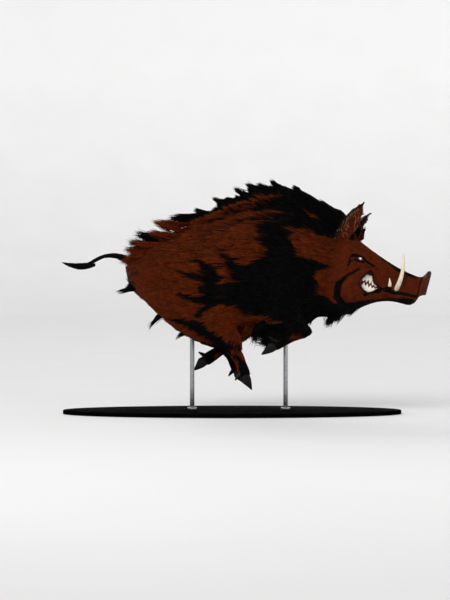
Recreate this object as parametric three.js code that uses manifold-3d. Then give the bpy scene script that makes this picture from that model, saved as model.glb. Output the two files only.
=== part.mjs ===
// A life-size wild boar, an adult male in its winter coat, caught in the gathered phase of a gallop
// and held on a plain display stand. Millimetres: +X points to the snout, +Y to the animal's left
// and +Z up. The origin is the centre of the stand's underside.
//
// Every body part is a solid swept through a few cross-sections. A section lies between two points
// of the side outline, its top and its bottom, and is as wide as its half width says. The outlines
// run to the tips of the coat.
import * as THREE from "three";
import { mergeVertices } from "three/addons/utils/BufferGeometryUtils.js";
import Module from "manifold-3d";

const wasm = await Module();
wasm.setup();

// ---- Driving dimensions ----
const GAP = 0.35; // clearance between neighbouring pieces
const LIFT = 14; // raises or lowers the whole animal on its stand
const CUT_SHARE = 0.006; // the clearance between trunk and neck as a share of their sections' spacing
const BASE_LENGTH = 1660;
const BASE_WIDTH = 520;
const BASE_THICKNESS = 20;
const ROD_RADIUS = 11;
const ROD_DEPTH = 34; // how far a rod passes through the belly's coat
const ROD_PLACES = { front: 262, rear: -196 };
const HEAD_LENGTH = 490; // occiput to the flat of the snout
const HEAD_REAR = { up: 180, down: 280, half: 124 }; // the section where head and neck meet
const HEAD_PITCH = THREE.MathUtils.degToRad(15); // nose down
const HEAD_YAW = THREE.MathUtils.degToRad(-7); // nose towards the animal's right
const OCCIPUT = new THREE.Vector3(482, 0, 728 + LIFT);
const EYE_RADIUS = 13;
const EYE_PLACE = [140, 84, 54]; // along the head, out to the side, up
const EAR_LENGTH = 212; // with the root that lies inside the head
const EAR_WIDTH = 106;
const TUSK_LENGTH = 226; // with the part inside the jaw
const WHETTER_LENGTH = 66;
const CLAW_LENGTH = 66;
const CLAW_SPREAD = 14.6; // from the foot's middle to each main claw's
const CLAW_HALF = 13.6; // half a main claw's width
const CLAW_TOE_OUT = 0.05; // radians
const DEWCLAW_LENGTH = 40;
const DEWCLAW_ROOT = { up: 26, back: 14, out: 15 }; // from the foot's end, and to each side
const DEWCLAW_LEAN = { down: 18, out: 3 }; // from its root to its tip

// ---- Finishes ----
function finish(color, roughness, metalness = 0) {
  return new THREE.MeshStandardMaterial({ color, roughness, metalness });
}
const COAT_BROWN = finish(0x4a1e08, 0.85);
const COAT_BLACK = finish(0x15100d, 0.85);
const NOSE_LEATHER = finish(0x3a2a26, 0.5);
const IVORY = finish(0xe8dcc0, 0.35);
const HORN = finish(0x14110f, 0.45);
const EYE_GLASS = finish(0x2a1206, 0.08);
const STAND_LACQUER = finish(0x0b0b0c, 0.35);
const STAND_STEEL = finish(0x8a8c8f, 0.35, 1);

// ---- Solids and booleans ----

// A closed geometry as a manifold-3d solid.
function solidOf(geometry) {
  const bare = geometry.index ? geometry.toNonIndexed() : geometry.clone();
  bare.deleteAttribute("normal");
  bare.deleteAttribute("uv");
  const merged = mergeVertices(bare, 1e-4);
  const vertProperties = merged.attributes.position.array;
  const triVerts = new Uint32Array(merged.index.array);
  return new wasm.Manifold(new wasm.Mesh({ numProp: 3, vertProperties, triVerts }));
}

// A manifold-3d solid as a flat-shaded geometry.
function geometryOf(solid) {
  const { vertProperties, triVerts, numProp } = solid.getMesh();
  const places = new Float32Array((vertProperties.length / numProp) * 3);
  for (let i = 0; i < places.length / 3; i++) {
    places.set(vertProperties.subarray(i * numProp, i * numProp + 3), i * 3);
  }
  const indexed = new THREE.BufferGeometry();
  indexed.setAttribute("position", new THREE.BufferAttribute(places, 3));
  indexed.setIndex(new THREE.BufferAttribute(triVerts, 1));
  const flat = indexed.toNonIndexed();
  flat.computeVertexNormals();
  return flat;
}

// What is left of a geometry once the others are cut away from it: its largest piece, without loose slivers.
function cutBy(geometry, ...cutters) {
  let solid = solidOf(geometry);
  for (const cutter of cutters) {
    solid = solid.subtract(solidOf(cutter));
  }
  const pieces = solid.decompose().sort((a, b) => b.volume() - a.volume());
  return geometryOf(pieces[0]);
}

function common(geometry, other) {
  return geometryOf(solidOf(geometry).intersect(solidOf(other)));
}

function joined(geometry, ...others) {
  return geometryOf(others.reduce((all, other) => all.add(solidOf(other)), solidOf(geometry)));
}

const SIDES = { left: 1, right: -1 };

function node(name, geometry, material) {
  const mesh = new THREE.Mesh(geometry, material);
  mesh.name = name;
  return mesh;
}

// ---- Sweeping ----

// A smooth value at u, counted in list places, through the given values.
function smooth(values, u) {
  const last = values.length - 1;
  const i = Math.min(Math.floor(u), last - 1);
  const f = u - i;
  const at = (k) => values[Math.max(0, Math.min(last, k))];
  const [a, b, c, d] = [at(i - 1), at(i), at(i + 1), at(i + 2)];
  return b + 0.5 * f * (c - a + f * (2 * a - 5 * b + 4 * c - d + f * (3 * (b - c) + d - a)));
}

// Defaults of a section: its middle plane's y, how far up its widest point lies, its squareness, 2
// for an ellipse, and its turn about the vertical in radians.
const SECTION = { y: 0, widest: 0.5, power: 2.1, turn: 0 };
const UP = new THREE.Vector3(0, 0, 1);

// One ring of a sweep at u: its points, in order round the sweep's direction from the left side by
// way of the top.
function ringAt(sections, u, sides, grow) {
  const value = (read) => smooth(sections.map((s) => read({ ...SECTION, ...s })), u);
  const top = new THREE.Vector3(value((s) => s.top[0]), value((s) => s.y), value((s) => s.top[1]));
  const bottom = new THREE.Vector3(value((s) => s.bottom[0]), top.y, value((s) => s.bottom[1]));
  const half = value((s) => s.half);
  const power = value((s) => s.power);
  const middle = bottom.clone().lerp(top, value((s) => s.widest));
  const pivot = bottom.clone().add(top).multiplyScalar(0.5);
  const turn = value((s) => s.turn);
  const rise = top.clone().sub(middle);
  const drop = bottom.clone().sub(middle);
  rise.setLength(rise.length() + grow);
  drop.setLength(drop.length() + grow);
  const points = [];
  for (let k = 0; k < sides; k++) {
    const angle = (2 * Math.PI * k) / sides;
    const [c, s] = [Math.cos(angle), Math.sin(angle)];
    const out = Math.sign(c) * Math.abs(c) ** (2 / power) * (half + grow);
    const up = Math.abs(s) ** (2 / power);
    const point = middle.clone().addScaledVector(s > 0 ? rise : drop, up).add(new THREE.Vector3(0, out, 0));
    points.push(point.sub(pivot).applyAxisAngle(UP, turn).add(pivot));
  }
  return points;
}

function centroid(points) {
  return points.reduce((sum, p) => sum.add(p), new THREE.Vector3()).divideScalar(points.length);
}

// A closed geometry through rings of equally many points. Fan caps suit round ends, strip caps crescent ones.
function closedThrough(rings, cap = "fan") {
  const sides = rings[0].length;
  const places = rings.flat().flatMap((p) => [p.x, p.y, p.z]);
  const index = [];
  rings.slice(1).forEach((_, i) => {
    for (let k = 0; k < sides; k++) {
      const [a, b] = [i * sides + k, i * sides + ((k + 1) % sides)];
      index.push(a, b, b + sides, a, b + sides, a + sides);
    }
  });
  [0, rings.length - 1].forEach((i) => {
    const face = (a, b, c) => index.push(...(i ? [a, b, c] : [a, c, b]));
    if (cap === "fan") {
      const middle = centroid(rings[i]);
      const hub = places.length / 3;
      places.push(middle.x, middle.y, middle.z);
      for (let k = 0; k < sides; k++) face(hub, i * sides + k, i * sides + ((k + 1) % sides));
    } else {
      for (let k = 0; k < sides / 2 - 1; k++) {
        const [a, b, c, d] = [k, k + 1, sides - 2 - k, sides - 1 - k].map((n) => i * sides + n);
        face(a, b, c);
        face(a, c, d);
      }
    }
  });
  const geometry = new THREE.BufferGeometry();
  geometry.setAttribute("position", new THREE.Float32BufferAttribute(places, 3));
  geometry.setIndex(index);
  return geometry;
}

// A solid swept through sections, from one list place to another. grow fattens it by that much, to
// cut its neighbours.
function sweep(sections, options = {}) {
  const { sides = 20, steps = 3, from = 0, to = sections.length - 1, grow = 0, shape } = options;
  const count = Math.max(1, Math.round((to - from) * steps));
  const rings = [];
  for (let i = 0; i <= count; i++) {
    rings.push(ringAt(sections, from + ((to - from) * i) / count, sides, grow));
  }
  if (shape) rings.forEach((ring) => ring.forEach(shape));
  if (grow) {
    for (const [end, next] of [[0, 1], [count, count - 1]]) {
      const away = centroid(rings[end]).sub(centroid(rings[next])).setLength(grow);
      rings[end].forEach((p) => p.add(away));
    }
  }
  return closedThrough(rings);
}

// Sections of a limb round its middle line: each is square to the line there, deep fore and aft and
// wide sideways.
function limb(line) {
  return line.map((station, i) => {
    const before = line[Math.max(0, i - 1)].at;
    const after = line[Math.min(line.length - 1, i + 1)].at;
    const way = new THREE.Vector2(after[0] - before[0], after[1] - before[1]).normalize();
    const [x, z] = station.at;
    const ahead = [-way.y * station.depth, way.x * station.depth];
    return { ...station, top: [x + ahead[0], z + ahead[1]], bottom: [x - ahead[0], z - ahead[1]] };
  });
}

// ---- Trunk and neck: one form, parted by a thin cut in front of the shoulders ----
const HEAD_REAR_SECTION = { half: HEAD_REAR.half, widest: 0.46, power: 2.15 };

// A point of the head's rear section in the side view, that far above its axis.
function headRear(up) {
  return [OCCIPUT.x + up * Math.sin(HEAD_PITCH), OCCIPUT.z - LIFT + up * Math.cos(HEAD_PITCH)];
}

const BODY = [
  { top: [-515, 716], bottom: [-521, 662], half: 32 },
  { top: [-498, 757], bottom: [-508, 605], half: 92 },
  { top: [-430, 812], bottom: [-436, 536], half: 142 },
  { top: [-318, 866], bottom: [-310, 474], half: 166, widest: 0.52 },
  { top: [-170, 912], bottom: [-150, 425], half: 182, widest: 0.5 },
  { top: [-22, 953], bottom: [2, 398], half: 192, widest: 0.46 },
  { top: [110, 992], bottom: [136, 388], half: 190, widest: 0.46, power: 2.05 },
  { top: [218, 1014], bottom: [240, 391], half: 178, widest: 0.46, power: 2.0 },
  { top: [320, 1006], bottom: [322, 404], half: 164, widest: 0.45, power: 2.0 },
  { top: [412, 970], bottom: [374, 414], half: 150, widest: 0.45, power: 2.0 },
  { top: [482, 934], bottom: [398, 430], half: 136, widest: 0.45, power: 2.05, turn: HEAD_YAW * 0.4 },
  { ...HEAD_REAR_SECTION, top: headRear(HEAD_REAR.up), bottom: headRear(-HEAD_REAR.down), turn: HEAD_YAW },
];
const NECK_CUT = 8.35;
const HEAD_END = BODY.length - 1;

function bodySweep(from, to, grow = 0) {
  return sweep(BODY, { sides: 20, steps: 1.5, from, to, grow });
}

// The height of the body's underside over a place on the ground.
function undersideAt(x) {
  const along = BODY.map((s) => s.bottom[0]);
  let u = 0;
  while (smooth(along, u) < x) u += 0.01;
  return smooth(BODY.map((s) => s.bottom[1]), u);
}

// ---- Legs: the upper part runs from inside the trunk to the knee or hock, the lower part to the claws ----
const UPPER_LEGS = {
  foreleg_right: [
    { top: [296, 852], bottom: [196, 870], y: -100, half: 26 },
    { top: [342, 792], bottom: [166, 806], y: -118, half: 56 },
    { top: [372, 704], bottom: [148, 706], y: -128, half: 66 },
    { top: [378, 616], bottom: [140, 602], y: -130, half: 68 },
    { top: [368, 548], bottom: [128, 506], y: -127, half: 64 },
    { top: [348, 500], bottom: [146, 426], y: -122, half: 54 },
    { top: [356, 462], bottom: [228, 392], y: -117, half: 43 },
    { top: [374, 434], bottom: [306, 374], y: -113, half: 36 },
    { top: [392, 404], bottom: [346, 366], y: -111, half: 23 },
  ],
  foreleg_left: limb([
    { at: [238, 862], y: 100, depth: 46, half: 26 },
    { at: [244, 800], y: 118, depth: 88, half: 56 },
    { at: [246, 705], y: 128, depth: 110, half: 66 },
    { at: [236, 612], y: 128, depth: 106, half: 68 },
    { at: [206, 540], y: 121, depth: 94, half: 60 },
    { at: [156, 482], y: 108, depth: 72, half: 48 },
    { at: [98, 424], y: 88, depth: 54, half: 40 },
    { at: [56, 380], y: 72, depth: 41, half: 34 },
    { at: [30, 354], y: 66, depth: 26, half: 23 },
  ]),
  hindleg_right: thigh(-1, 0, [
    { front: [22, 430], back: [-268, 390], y: -117, half: 49 },
    { front: [52, 386], back: [-186, 347], y: -114, half: 41 },
    { front: [58, 346], back: [-110, 314], y: -111, half: 36 },
    { front: [40, 314], back: [-46, 300], y: -110, half: 20 },
  ]),
  hindleg_left: thigh(1, 14, [
    { front: [-14, 426], back: [-280, 386], y: 123, half: 48 },
    { front: [10, 382], back: [-212, 345], y: 128, half: 39 },
    { front: [14, 342], back: [-144, 314], y: 131, half: 34 },
    { front: [-6, 310], back: [-86, 298], y: 131, half: 19 },
  ]),
};

// The hip and thigh of one side, whose stifle lies back by that much, with the shank's sections after it.
function thigh(side, back, shank) {
  const hip = [
    { front: [-306, 846], back: [-420, 786], y: side * 84, half: 26 },
    { front: [-222, 776], back: [-480, 700], y: side * 100, half: 60 },
    { front: [-136, 676], back: [-488, 616], y: side * 111, half: 76 },
    { front: [-70 - back, 566], back: [-420, 528], y: side * 115, half: 74 },
    { front: [-24 - back, 488], back: [-338, 448], y: side * 117, half: 61 },
  ];
  return [...hip, ...shank].map((s) => ({ ...s, top: s.front, bottom: s.back }));
}

const LOWER_LEGS = {
  foreleg_right: limb([
    { at: [382, 409], y: -111, depth: 20, half: 18 },
    { at: [360, 398], y: -111, depth: 34, half: 32 },
    { at: [322, 380], y: -110, depth: 27, half: 26 },
    { at: [266, 354], y: -108, depth: 24, half: 24 },
    { at: [226, 336], y: -107, depth: 30, half: 29 },
    { at: [198, 319], y: -107, depth: 25, half: 27 },
  ]),
  foreleg_left: limb([
    { at: [62, 384], y: 72, depth: 22, half: 19 },
    { at: [38, 362], y: 67, depth: 37, half: 32 },
    { at: [-4, 331], y: 61, depth: 31, half: 28 },
    { at: [-66, 289], y: 58, depth: 28, half: 25 },
    { at: [-112, 259], y: 58, depth: 34, half: 29 },
    { at: [-139, 238], y: 58, depth: 28, half: 27 },
  ]),
  hindleg_right: limb([
    { at: [-28, 336], y: -110, depth: 18, half: 16 },
    { at: [-2, 314], y: -110, depth: 40, half: 33 },
    { at: [24, 280], y: -110, depth: 33, half: 28 },
    { at: [42, 236], y: -109, depth: 28, half: 26 },
    { at: [54, 200], y: -108, depth: 33, half: 29 },
    { at: [66, 172], y: -108, depth: 28, half: 28 },
  ]),
  hindleg_left: limb([
    { at: [-72, 334], y: 131, depth: 18, half: 16 },
    { at: [-46, 312], y: 131, depth: 37, half: 31 },
    { at: [-18, 282], y: 131, depth: 30, half: 27 },
    { at: [4, 244], y: 131, depth: 26, half: 25 },
    { at: [20, 208], y: 131, depth: 32, half: 29 },
    { at: [34, 180], y: 131, depth: 27, half: 28 },
  ]),
};
const UPPER_SWEEP = { sides: 14, steps: 1.3 };
const LOWER_SWEEP = { sides: 10, steps: 1.4 };

// Where a leg's claws join it, and the way they point, from the last two stations of its lower part.
function footOf(sections) {
  const middle = ({ top, bottom }) => new THREE.Vector2((top[0] + bottom[0]) / 2, (top[1] + bottom[1]) / 2);
  const [before, end] = sections.slice(-2);
  const at = middle(end);
  const way = at.clone().sub(middle(before)).normalize();
  return { at: new THREE.Vector3(at.x, end.y, at.y), way };
}

// ---- Claws, along +X from the foot: a steep toe wall on top, the sole sloping back to a soft heel ----
const CLAW = [
  { top: [0, 21], bottom: [0, -21], half: 12, power: 2.3 },
  { top: [12, 21], bottom: [9, -29], half: CLAW_HALF, power: 2.5 },
  { top: [30, 18], bottom: [27, -22], half: 13.4, power: 2.8 },
  { top: [48, 12], bottom: [47, -9], half: 9.5, power: 2.8 },
  { top: [CLAW_LENGTH, 4], bottom: [CLAW_LENGTH, 0], half: 2.4, power: 2.4 },
];

function mainClaws(leg, { at, way }) {
  const foot = new THREE.Group();
  const clear = GAP + CLAW_HALF * CLAW_TOE_OUT;
  foot.position.copy(at).addScaledVector(new THREE.Vector3(way.x, 0, way.y), clear);
  foot.rotation.y = -Math.atan2(way.y, way.x);
  for (const [label, side] of Object.entries(SIDES)) {
    const claw = node(`claw_${leg}_${label}`, sweep(CLAW, { sides: 8, steps: 1 }), HORN);
    claw.position.y = side * CLAW_SPREAD;
    claw.rotation.z = side * CLAW_TOE_OUT;
    foot.add(claw);
  }
  return foot;
}

// The two dewclaws behind a fetlock, cut clear of the leg. They stand out of the foot's back, a
// little downwards.
function dewclaws(leg, sections, shank) {
  const { at, way } = footOf(sections);
  const back = new THREE.Vector2(way.y, -way.x); // square to the foot, on its sole's side
  const foot = new THREE.Vector2(at.x, at.z);
  const root = foot.addScaledVector(way, -DEWCLAW_ROOT.up).addScaledVector(back, DEWCLAW_ROOT.back);
  return Object.entries(SIDES).map(([label, side]) => {
    const line = [
      { share: 0, depth: 11, half: 9 },
      { share: 0.55, depth: 9, half: 8 },
      { share: 1, depth: 2.5, half: 2 },
    ].map(({ share, depth, half }) => {
      const tip = root.clone().addScaledVector(way, DEWCLAW_LEAN.down * share);
      tip.addScaledVector(back, DEWCLAW_LENGTH * share);
      const y = at.y + side * (DEWCLAW_ROOT.out + DEWCLAW_LEAN.out * share);
      return { at: [tip.x, tip.y], y, depth, half };
    });
    return node(`dewclaw_${leg}_${label}`, cutBy(sweep(limb(line), { sides: 6, steps: 1 }), shank), HORN);
  });
}

// ---- Mane: a crest of bristles from the loin to the brow, its edge in raked locks ----
const MANE = [
  { top: [-310, 872], bottom: [-296, 840], half: 12 },
  { top: [-190, 938], bottom: [-170, 862], half: 20 },
  { top: [-60, 1004], bottom: [-30, 900], half: 27 },
  { top: [76, 1068], bottom: [105, 936], half: 32 },
  { top: [186, 1102], bottom: [218, 962], half: 34 },
  { top: [290, 1102], bottom: [316, 954], half: 34 },
  { top: [394, 1062], bottom: [412, 920], half: 31 },
  { top: [490, 1008], bottom: [496, 874], half: 28 },
  { top: [568, 966], bottom: [556, 844], half: 24 },
  { top: [621, 918], bottom: [594, 822], half: 18 },
  { top: [648, 852], bottom: [618, 806], half: 10 },
];
const MANE_LOCKS = 9;
const LOCK_STEPS = 3;
const LOCK_RISE = 34; // a lock's tip over the notch behind it
const LOCK_RAKE = 27; // how far back a lock's tip lies

// Draws the crest's upper edge out into locks that lie backwards, strongest over the shoulders.
function maneGeometry() {
  const count = MANE_LOCKS * LOCK_STEPS;
  const rings = [];
  for (let i = 0; i <= count; i++) {
    const ring = ringAt(MANE, ((MANE.length - 1) * i) / count, 8, 0);
    const envelope = Math.sin((Math.PI * i) / count);
    const strength = 1 - (i % LOCK_STEPS) / (LOCK_STEPS - 1);
    const crown = Math.max(...ring.map((p) => p.z));
    const foot = Math.min(...ring.map((p) => p.z));
    for (const p of ring) {
      const share = Math.max(0, (2 * (p.z - foot)) / (crown - foot) - 1) * envelope;
      p.z += share * LOCK_RISE * (strength - 0.45);
      p.x -= share * LOCK_RAKE * strength;
    }
    rings.push(ring);
  }
  return closedThrough(rings);
}

// ---- Tail: thin, streaming behind in a shallow wave, with a tuft of long hair ----
const TAIL_LINE = [
  { at: [-470, 722], y: 0, depth: 26, half: 24 },
  { at: [-520, 748], y: 0, depth: 19, half: 18 },
  { at: [-570, 761], y: -2, depth: 14, half: 13.5 },
  { at: [-620, 760], y: -5, depth: 12, half: 11.5 },
  { at: [-664, 742], y: -8, depth: 10.5, half: 10 },
  { at: [-704, 719], y: -10, depth: 9.5, half: 9 },
  { at: [-738, 709], y: -11, depth: 8, half: 8 },
];
const TUFT_LINE = [
  { at: [-690, 725], y: -9.5, depth: 9, half: 8 },
  { at: [-714, 714], y: -10, depth: 16, half: 13 },
  { at: [-744, 708], y: -11, depth: 23, half: 16 },
  { at: [-776, 710], y: -12, depth: 19, half: 13 },
  { at: [-806, 721], y: -13, depth: 10, half: 8 },
  { at: [-832, 738], y: -14, depth: 2.5, half: 2 },
];

// ---- Head, in its own frame: x from the occiput to the snout, y left, z square to the head's axis ----
const HEAD = [
  { ...HEAD_REAR_SECTION, top: [0, HEAD_REAR.up], bottom: [0, -HEAD_REAR.down] },
  { top: [58, 163], bottom: [80, -258], half: 125, widest: 0.46, power: 2.2 },
  { top: [116, 138], bottom: [144, -226], half: 113, widest: 0.46, power: 2.25 },
  { top: [172, 115], bottom: [198, -180], half: 96, widest: 0.46, power: 2.3 },
  { top: [230, 92], bottom: [248, -142], half: 78, widest: 0.45, power: 2.4 },
  { top: [290, 71], bottom: [300, -117], half: 63, widest: 0.44, power: 2.5 },
  { top: [350, 56], bottom: [354, -106], half: 53, widest: 0.44, power: 2.5 },
  { top: [404, 48], bottom: [402, -106], half: 46, widest: 0.47, power: 2.5 },
  { top: [436, 46], bottom: [436, -102], half: 42, widest: 0.52, power: 2.5 },
  { top: [453, 50], bottom: [454, -74], half: 40, widest: 0.52, power: 2.5 },
  { top: [463, 70], bottom: [463, -46], half: 42, widest: 0.5, power: 2.5 },
  { top: [470, 85], bottom: [472, -40], half: 47, widest: 0.48, power: 2.4 },
  { top: [481, 88], bottom: [483, -38], half: 48, widest: 0.48, power: 2.4 },
  { top: [HEAD_LENGTH - 1, 81], bottom: [HEAD_LENGTH + 1, -33], half: 43, widest: 0.48, power: 2.4 },
];
// Soft swellings and hollows: place, reach along x, y and z, and how far the surface moves out.
const FEATURES = [
  { place: [116, 82, 84], reach: [36, 26, 18], out: 9 }, // brow
  { place: [146, 92, 50], reach: [20, 22, 15], out: -7 }, // eye socket
  { place: [122, 110, 4], reach: [56, 30, 28], out: 9 }, // cheekbone
  { place: [96, 112, -92], reach: [60, 44, 54], out: 12 }, // jowl
  { place: [254, 68, -6], reach: [52, 24, 24], out: -7 }, // hollow in front of the cheekbone
  { place: [338, 53, -42], reach: [32, 20, 22], out: 8 }, // swelling over the tusks
  { place: [300, 0, 74], reach: [80, 16, 20], out: 2 }, // ridge of the nose
];

function shapeHead(point) {
  let out = 0;
  for (const { place, reach, out: amount } of FEATURES) {
    const away = [point.x - place[0], Math.abs(point.y) - place[1], point.z - place[2]];
    out += amount * Math.exp(-away.reduce((sum, d, i) => sum + (d / reach[i]) ** 2, 0));
  }
  point.addScaledVector(new THREE.Vector3(0, point.y, point.z * 0.6).normalize(), out);
}

function headSweep(grow = 0) {
  return sweep(HEAD, { sides: 20, steps: 1.55, grow, shape: shapeHead });
}

// ---- Mouth: the jaws part along a line from its corner to the chin, as seen from the side ----
const MOUTH = [[180, -46], [214, -57], [276, -61], [330, -58], [388, -55], [446, -50]];
const LIP_GAP = 2.2;
const JAW_RAKE = 26; // how far the jaw's rear edge leans back on its way down
const SIDE_REACH = 200; // beyond every side of the head

// A prism across the head with that outline in the side view, between two distances to the left.
function prism(outline, fromY, toY) {
  const shape = new THREE.Shape(outline.map(([x, z]) => new THREE.Vector2(x, z)));
  const geometry = new THREE.ExtrudeGeometry(shape, { depth: toY - fromY, bevelEnabled: false });
  return geometry.rotateX(Math.PI / 2).translate(0, toY, 0);
}

// All that lies under the mouth's line in front of its corner, kept that far away from the line.
function jawRegion(away) {
  const curve = new THREE.SplineCurve(MOUTH.map(([x, z]) => new THREE.Vector2(x, z)));
  const line = curve.getPoints(8).map((p) => [p.x + away * 0.5, p.y - away]);
  const [rear, front] = [line[0], line[line.length - 1]];
  const [below, ahead] = [-SIDE_REACH, HEAD_LENGTH + SIDE_REACH];
  const outline = [[rear[0] - JAW_RAKE, below], [ahead, below], [ahead, front[1]], ...line.reverse()];
  return prism(outline, -SIDE_REACH, SIDE_REACH);
}

// The leaf-shaped opening where the lips are drawn up from the cheek teeth, fuller towards the corner.
const SNARL = { at: [224, -50], length: 92, height: 50, inner: 46 };

// Half the opening's height at a place along it.
function snarlHalf(x) {
  const share = (x - SNARL.at[0]) / (SNARL.length / 2);
  return (SNARL.height / 2) * Math.sqrt(Math.max(0, 1 - share ** 2)) * (1 - 0.45 * share);
}

function snarlOpening(side) {
  const count = 8;
  const upper = [];
  for (let i = 0; i <= count; i++) {
    const x = SNARL.at[0] - (SNARL.length / 2) * Math.cos((Math.PI * i) / count);
    upper.push([x, SNARL.at[1] + snarlHalf(x)]);
  }
  const lower = upper.slice(1, -1).reverse().map(([x, z]) => [x, 2 * SNARL.at[1] - z]);
  const [near, far] = [SNARL.inner, SIDE_REACH];
  return side > 0 ? prism([...upper, ...lower], near, far) : prism([...upper, ...lower], -far, -near);
}

// The cheek teeth that show in the opening: two rows of blunt cones that grow out of its edges.
const TEETH = { count: 4, pitch: 14, first: 198, radius: 6.4, height: 18, bedded: 4 };
function cheekTeeth(side, up) {
  return Array.from({ length: TEETH.count }, (_, i) => {
    const x = TEETH.first + TEETH.pitch * (i + (up > 0 ? 0 : 0.4));
    const middle = snarlHalf(x) + TEETH.bedded - TEETH.height / 2;
    const cone = new THREE.ConeGeometry(TEETH.radius, TEETH.height, 5).rotateX((-up * Math.PI) / 2);
    return cone.translate(x, side * (SNARL.inner + TEETH.radius + 1), SNARL.at[1] + up * middle);
  });
}

// ---- Ears: a cupped leaf that grows along z and opens towards x ----
const EARS = {
  left: { at: [12, 68, 118], way: [0.52, 0.34, 0.78], open: [0.8, 0.5, -0.4] },
  right: { at: [6, -68, 134], way: [0.40, -0.28, 0.88], open: [0.62, -0.78, 0] },
};

function earGeometry() {
  const [lengthSteps, arcSteps] = [8, 6];
  const rings = [];
  for (let i = 0; i <= lengthSteps; i++) {
    const u = i / lengthSteps;
    const halfWidth = (EAR_WIDTH / 2) * (0.62 + 1.5 * u * (1 - u)) * (1 - u ** 2.8) ** 0.7 + 1.2;
    const curl = THREE.MathUtils.lerp(1.5, 0.6, u);
    const radius = halfWidth / Math.sin(curl);
    const thick = Math.min(THREE.MathUtils.lerp(12, 4, u), 0.6 * radius);
    const bow = -15 * Math.sin(Math.PI * 0.9 * u);
    const arc = (r) =>
      Array.from({ length: arcSteps + 1 }, (_, k) => {
        const angle = curl * ((2 * k) / arcSteps - 1);
        return new THREE.Vector3(radius - r * Math.cos(angle) + bow, -r * Math.sin(angle), EAR_LENGTH * u);
      });
    rings.push([...arc(radius), ...arc(radius - thick).reverse()]);
  }
  return closedThrough(rings, "strip");
}

function earInHead({ at, way, open }) {
  const along = new THREE.Vector3(...way).normalize();
  const across = along.clone().cross(new THREE.Vector3(...open)).normalize();
  const placed = new THREE.Matrix4().makeBasis(across.clone().cross(along), across, along).setPosition(...at);
  return earGeometry().applyMatrix4(placed);
}

// ---- Tusks: blunt three-sided in section, curving up and outwards and then back ----
const LOWER_TUSK = {
  root: [336, 43, -74], length: TUSK_LENGTH, radius: 12.5, flare: 0.2, ahead: 0.3, back: 0.32,
};
const WHETTER = {
  root: [309, 46, -58], length: WHETTER_LENGTH, radius: 10.5, flare: 0.46, ahead: 0.1, back: 0.24,
};

function tusk(side, { root, length, radius, flare, ahead, back }) {
  const steps = 7;
  const rings = [];
  for (let i = 0; i <= steps; i++) {
    const u = i / steps;
    const x = root[0] + length * (ahead * u - back * u * u);
    const y = root[1] + length * flare * Math.sin(1.3 * u);
    const middle = new THREE.Vector3(x, side * y, root[2] + length * u * (1 - 0.08 * u));
    const thick = radius * (1 - u ** 1.8) + 0.8;
    const ring = [];
    for (let k = 0; k < 9; k++) {
      const angle = (2 * Math.PI * k) / 9;
      const lobed = thick * (1 + 0.12 * Math.cos(3 * angle));
      const out = new THREE.Vector3(lobed * Math.cos(angle), 0.85 * lobed * Math.sin(angle), 0);
      ring.push(middle.clone().add(out));
    }
    rings.push(ring);
  }
  return closedThrough(rings);
}

// ---- Snout: the flat disc of bare skin, with two blind nostrils ----
const SNOUT_BACK = 461;
const NOSTRIL = { radius: 8.5, out: 18, up: 13, depth: 18 };

function ahead(from) {
  const length = HEAD_LENGTH + SIDE_REACH - from;
  return new THREE.BoxGeometry(length, 2 * SIDE_REACH, 2 * SIDE_REACH).translate(from + length / 2, 0, 0);
}

function nostril(side) {
  const { radius, out, up, depth } = NOSTRIL;
  const hole = new THREE.CylinderGeometry(radius, 0.8 * radius, 2 * depth, 10).rotateZ(-Math.PI / 2);
  return hole.scale(1, 0.85, 1.25).rotateX(side * 0.5).translate(HEAD_LENGTH, side * out, up);
}

// The head with all that it carries, in its own frame.
function headGroup() {
  const group = new THREE.Group();
  const sides = Object.entries(SIDES);
  const whole = headSweep();
  const eye = (side, radius) => {
    const [x, y, z] = EYE_PLACE;
    return new THREE.IcosahedronGeometry(radius, 2).translate(x, side * y, z);
  };
  const grown = (shape) => ({ ...shape, radius: shape.radius + GAP });
  const tusksGrown = sides.flatMap(([, side]) => [tusk(side, grown(LOWER_TUSK)), tusk(side, grown(WHETTER))]);
  const openings = sides.map(([, side]) => snarlOpening(side));
  const sockets = sides.map(([, side]) => eye(side, EYE_RADIUS + GAP));

  const skull = cutBy(whole, jawRegion(0), ahead(SNOUT_BACK), ...openings);
  const upperTeeth = sides.flatMap(([, side]) => cheekTeeth(side, 1));
  const lowerTeeth = sides.flatMap(([, side]) => cheekTeeth(side, -1));
  const head = cutBy(joined(skull, ...upperTeeth), ...sockets, ...tusksGrown);
  const jaw = cutBy(common(whole, jawRegion(LIP_GAP)), ahead(SNOUT_BACK), ...openings);
  const armedJaw = cutBy(joined(jaw, ...lowerTeeth), ...tusksGrown);
  const snout = cutBy(common(whole, ahead(SNOUT_BACK + GAP)), jawRegion(0), nostril(1), nostril(-1));
  group.add(node("head", head, COAT_BROWN), node("lower_jaw", armedJaw, COAT_BROWN));
  group.add(node("snout", snout, NOSE_LEATHER));

  for (const [label, side] of sides) {
    group.add(node(`eye_${label}`, eye(side, EYE_RADIUS), EYE_GLASS));
    group.add(node(`tusk_lower_${label}`, tusk(side, LOWER_TUSK), IVORY));
    group.add(node(`tusk_upper_${label}`, cutBy(tusk(side, WHETTER), tusk(side, grown(LOWER_TUSK))), IVORY));
  }
  group.position.copy(OCCIPUT);
  group.rotation.set(0, HEAD_PITCH, HEAD_YAW, "ZYX");
  return group;
}

// ---- Stand: an oval base and two rods that pass through the belly's coat into the body ----
function standRod(x, grow = 0) {
  const height = undersideAt(x) + LIFT + ROD_DEPTH - BASE_THICKNESS;
  const rod = new THREE.CylinderGeometry(ROD_RADIUS + grow, ROD_RADIUS + grow, height, 20);
  return rod.rotateX(Math.PI / 2).translate(x, 0, BASE_THICKNESS + GAP + height / 2 + grow);
}

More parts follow.
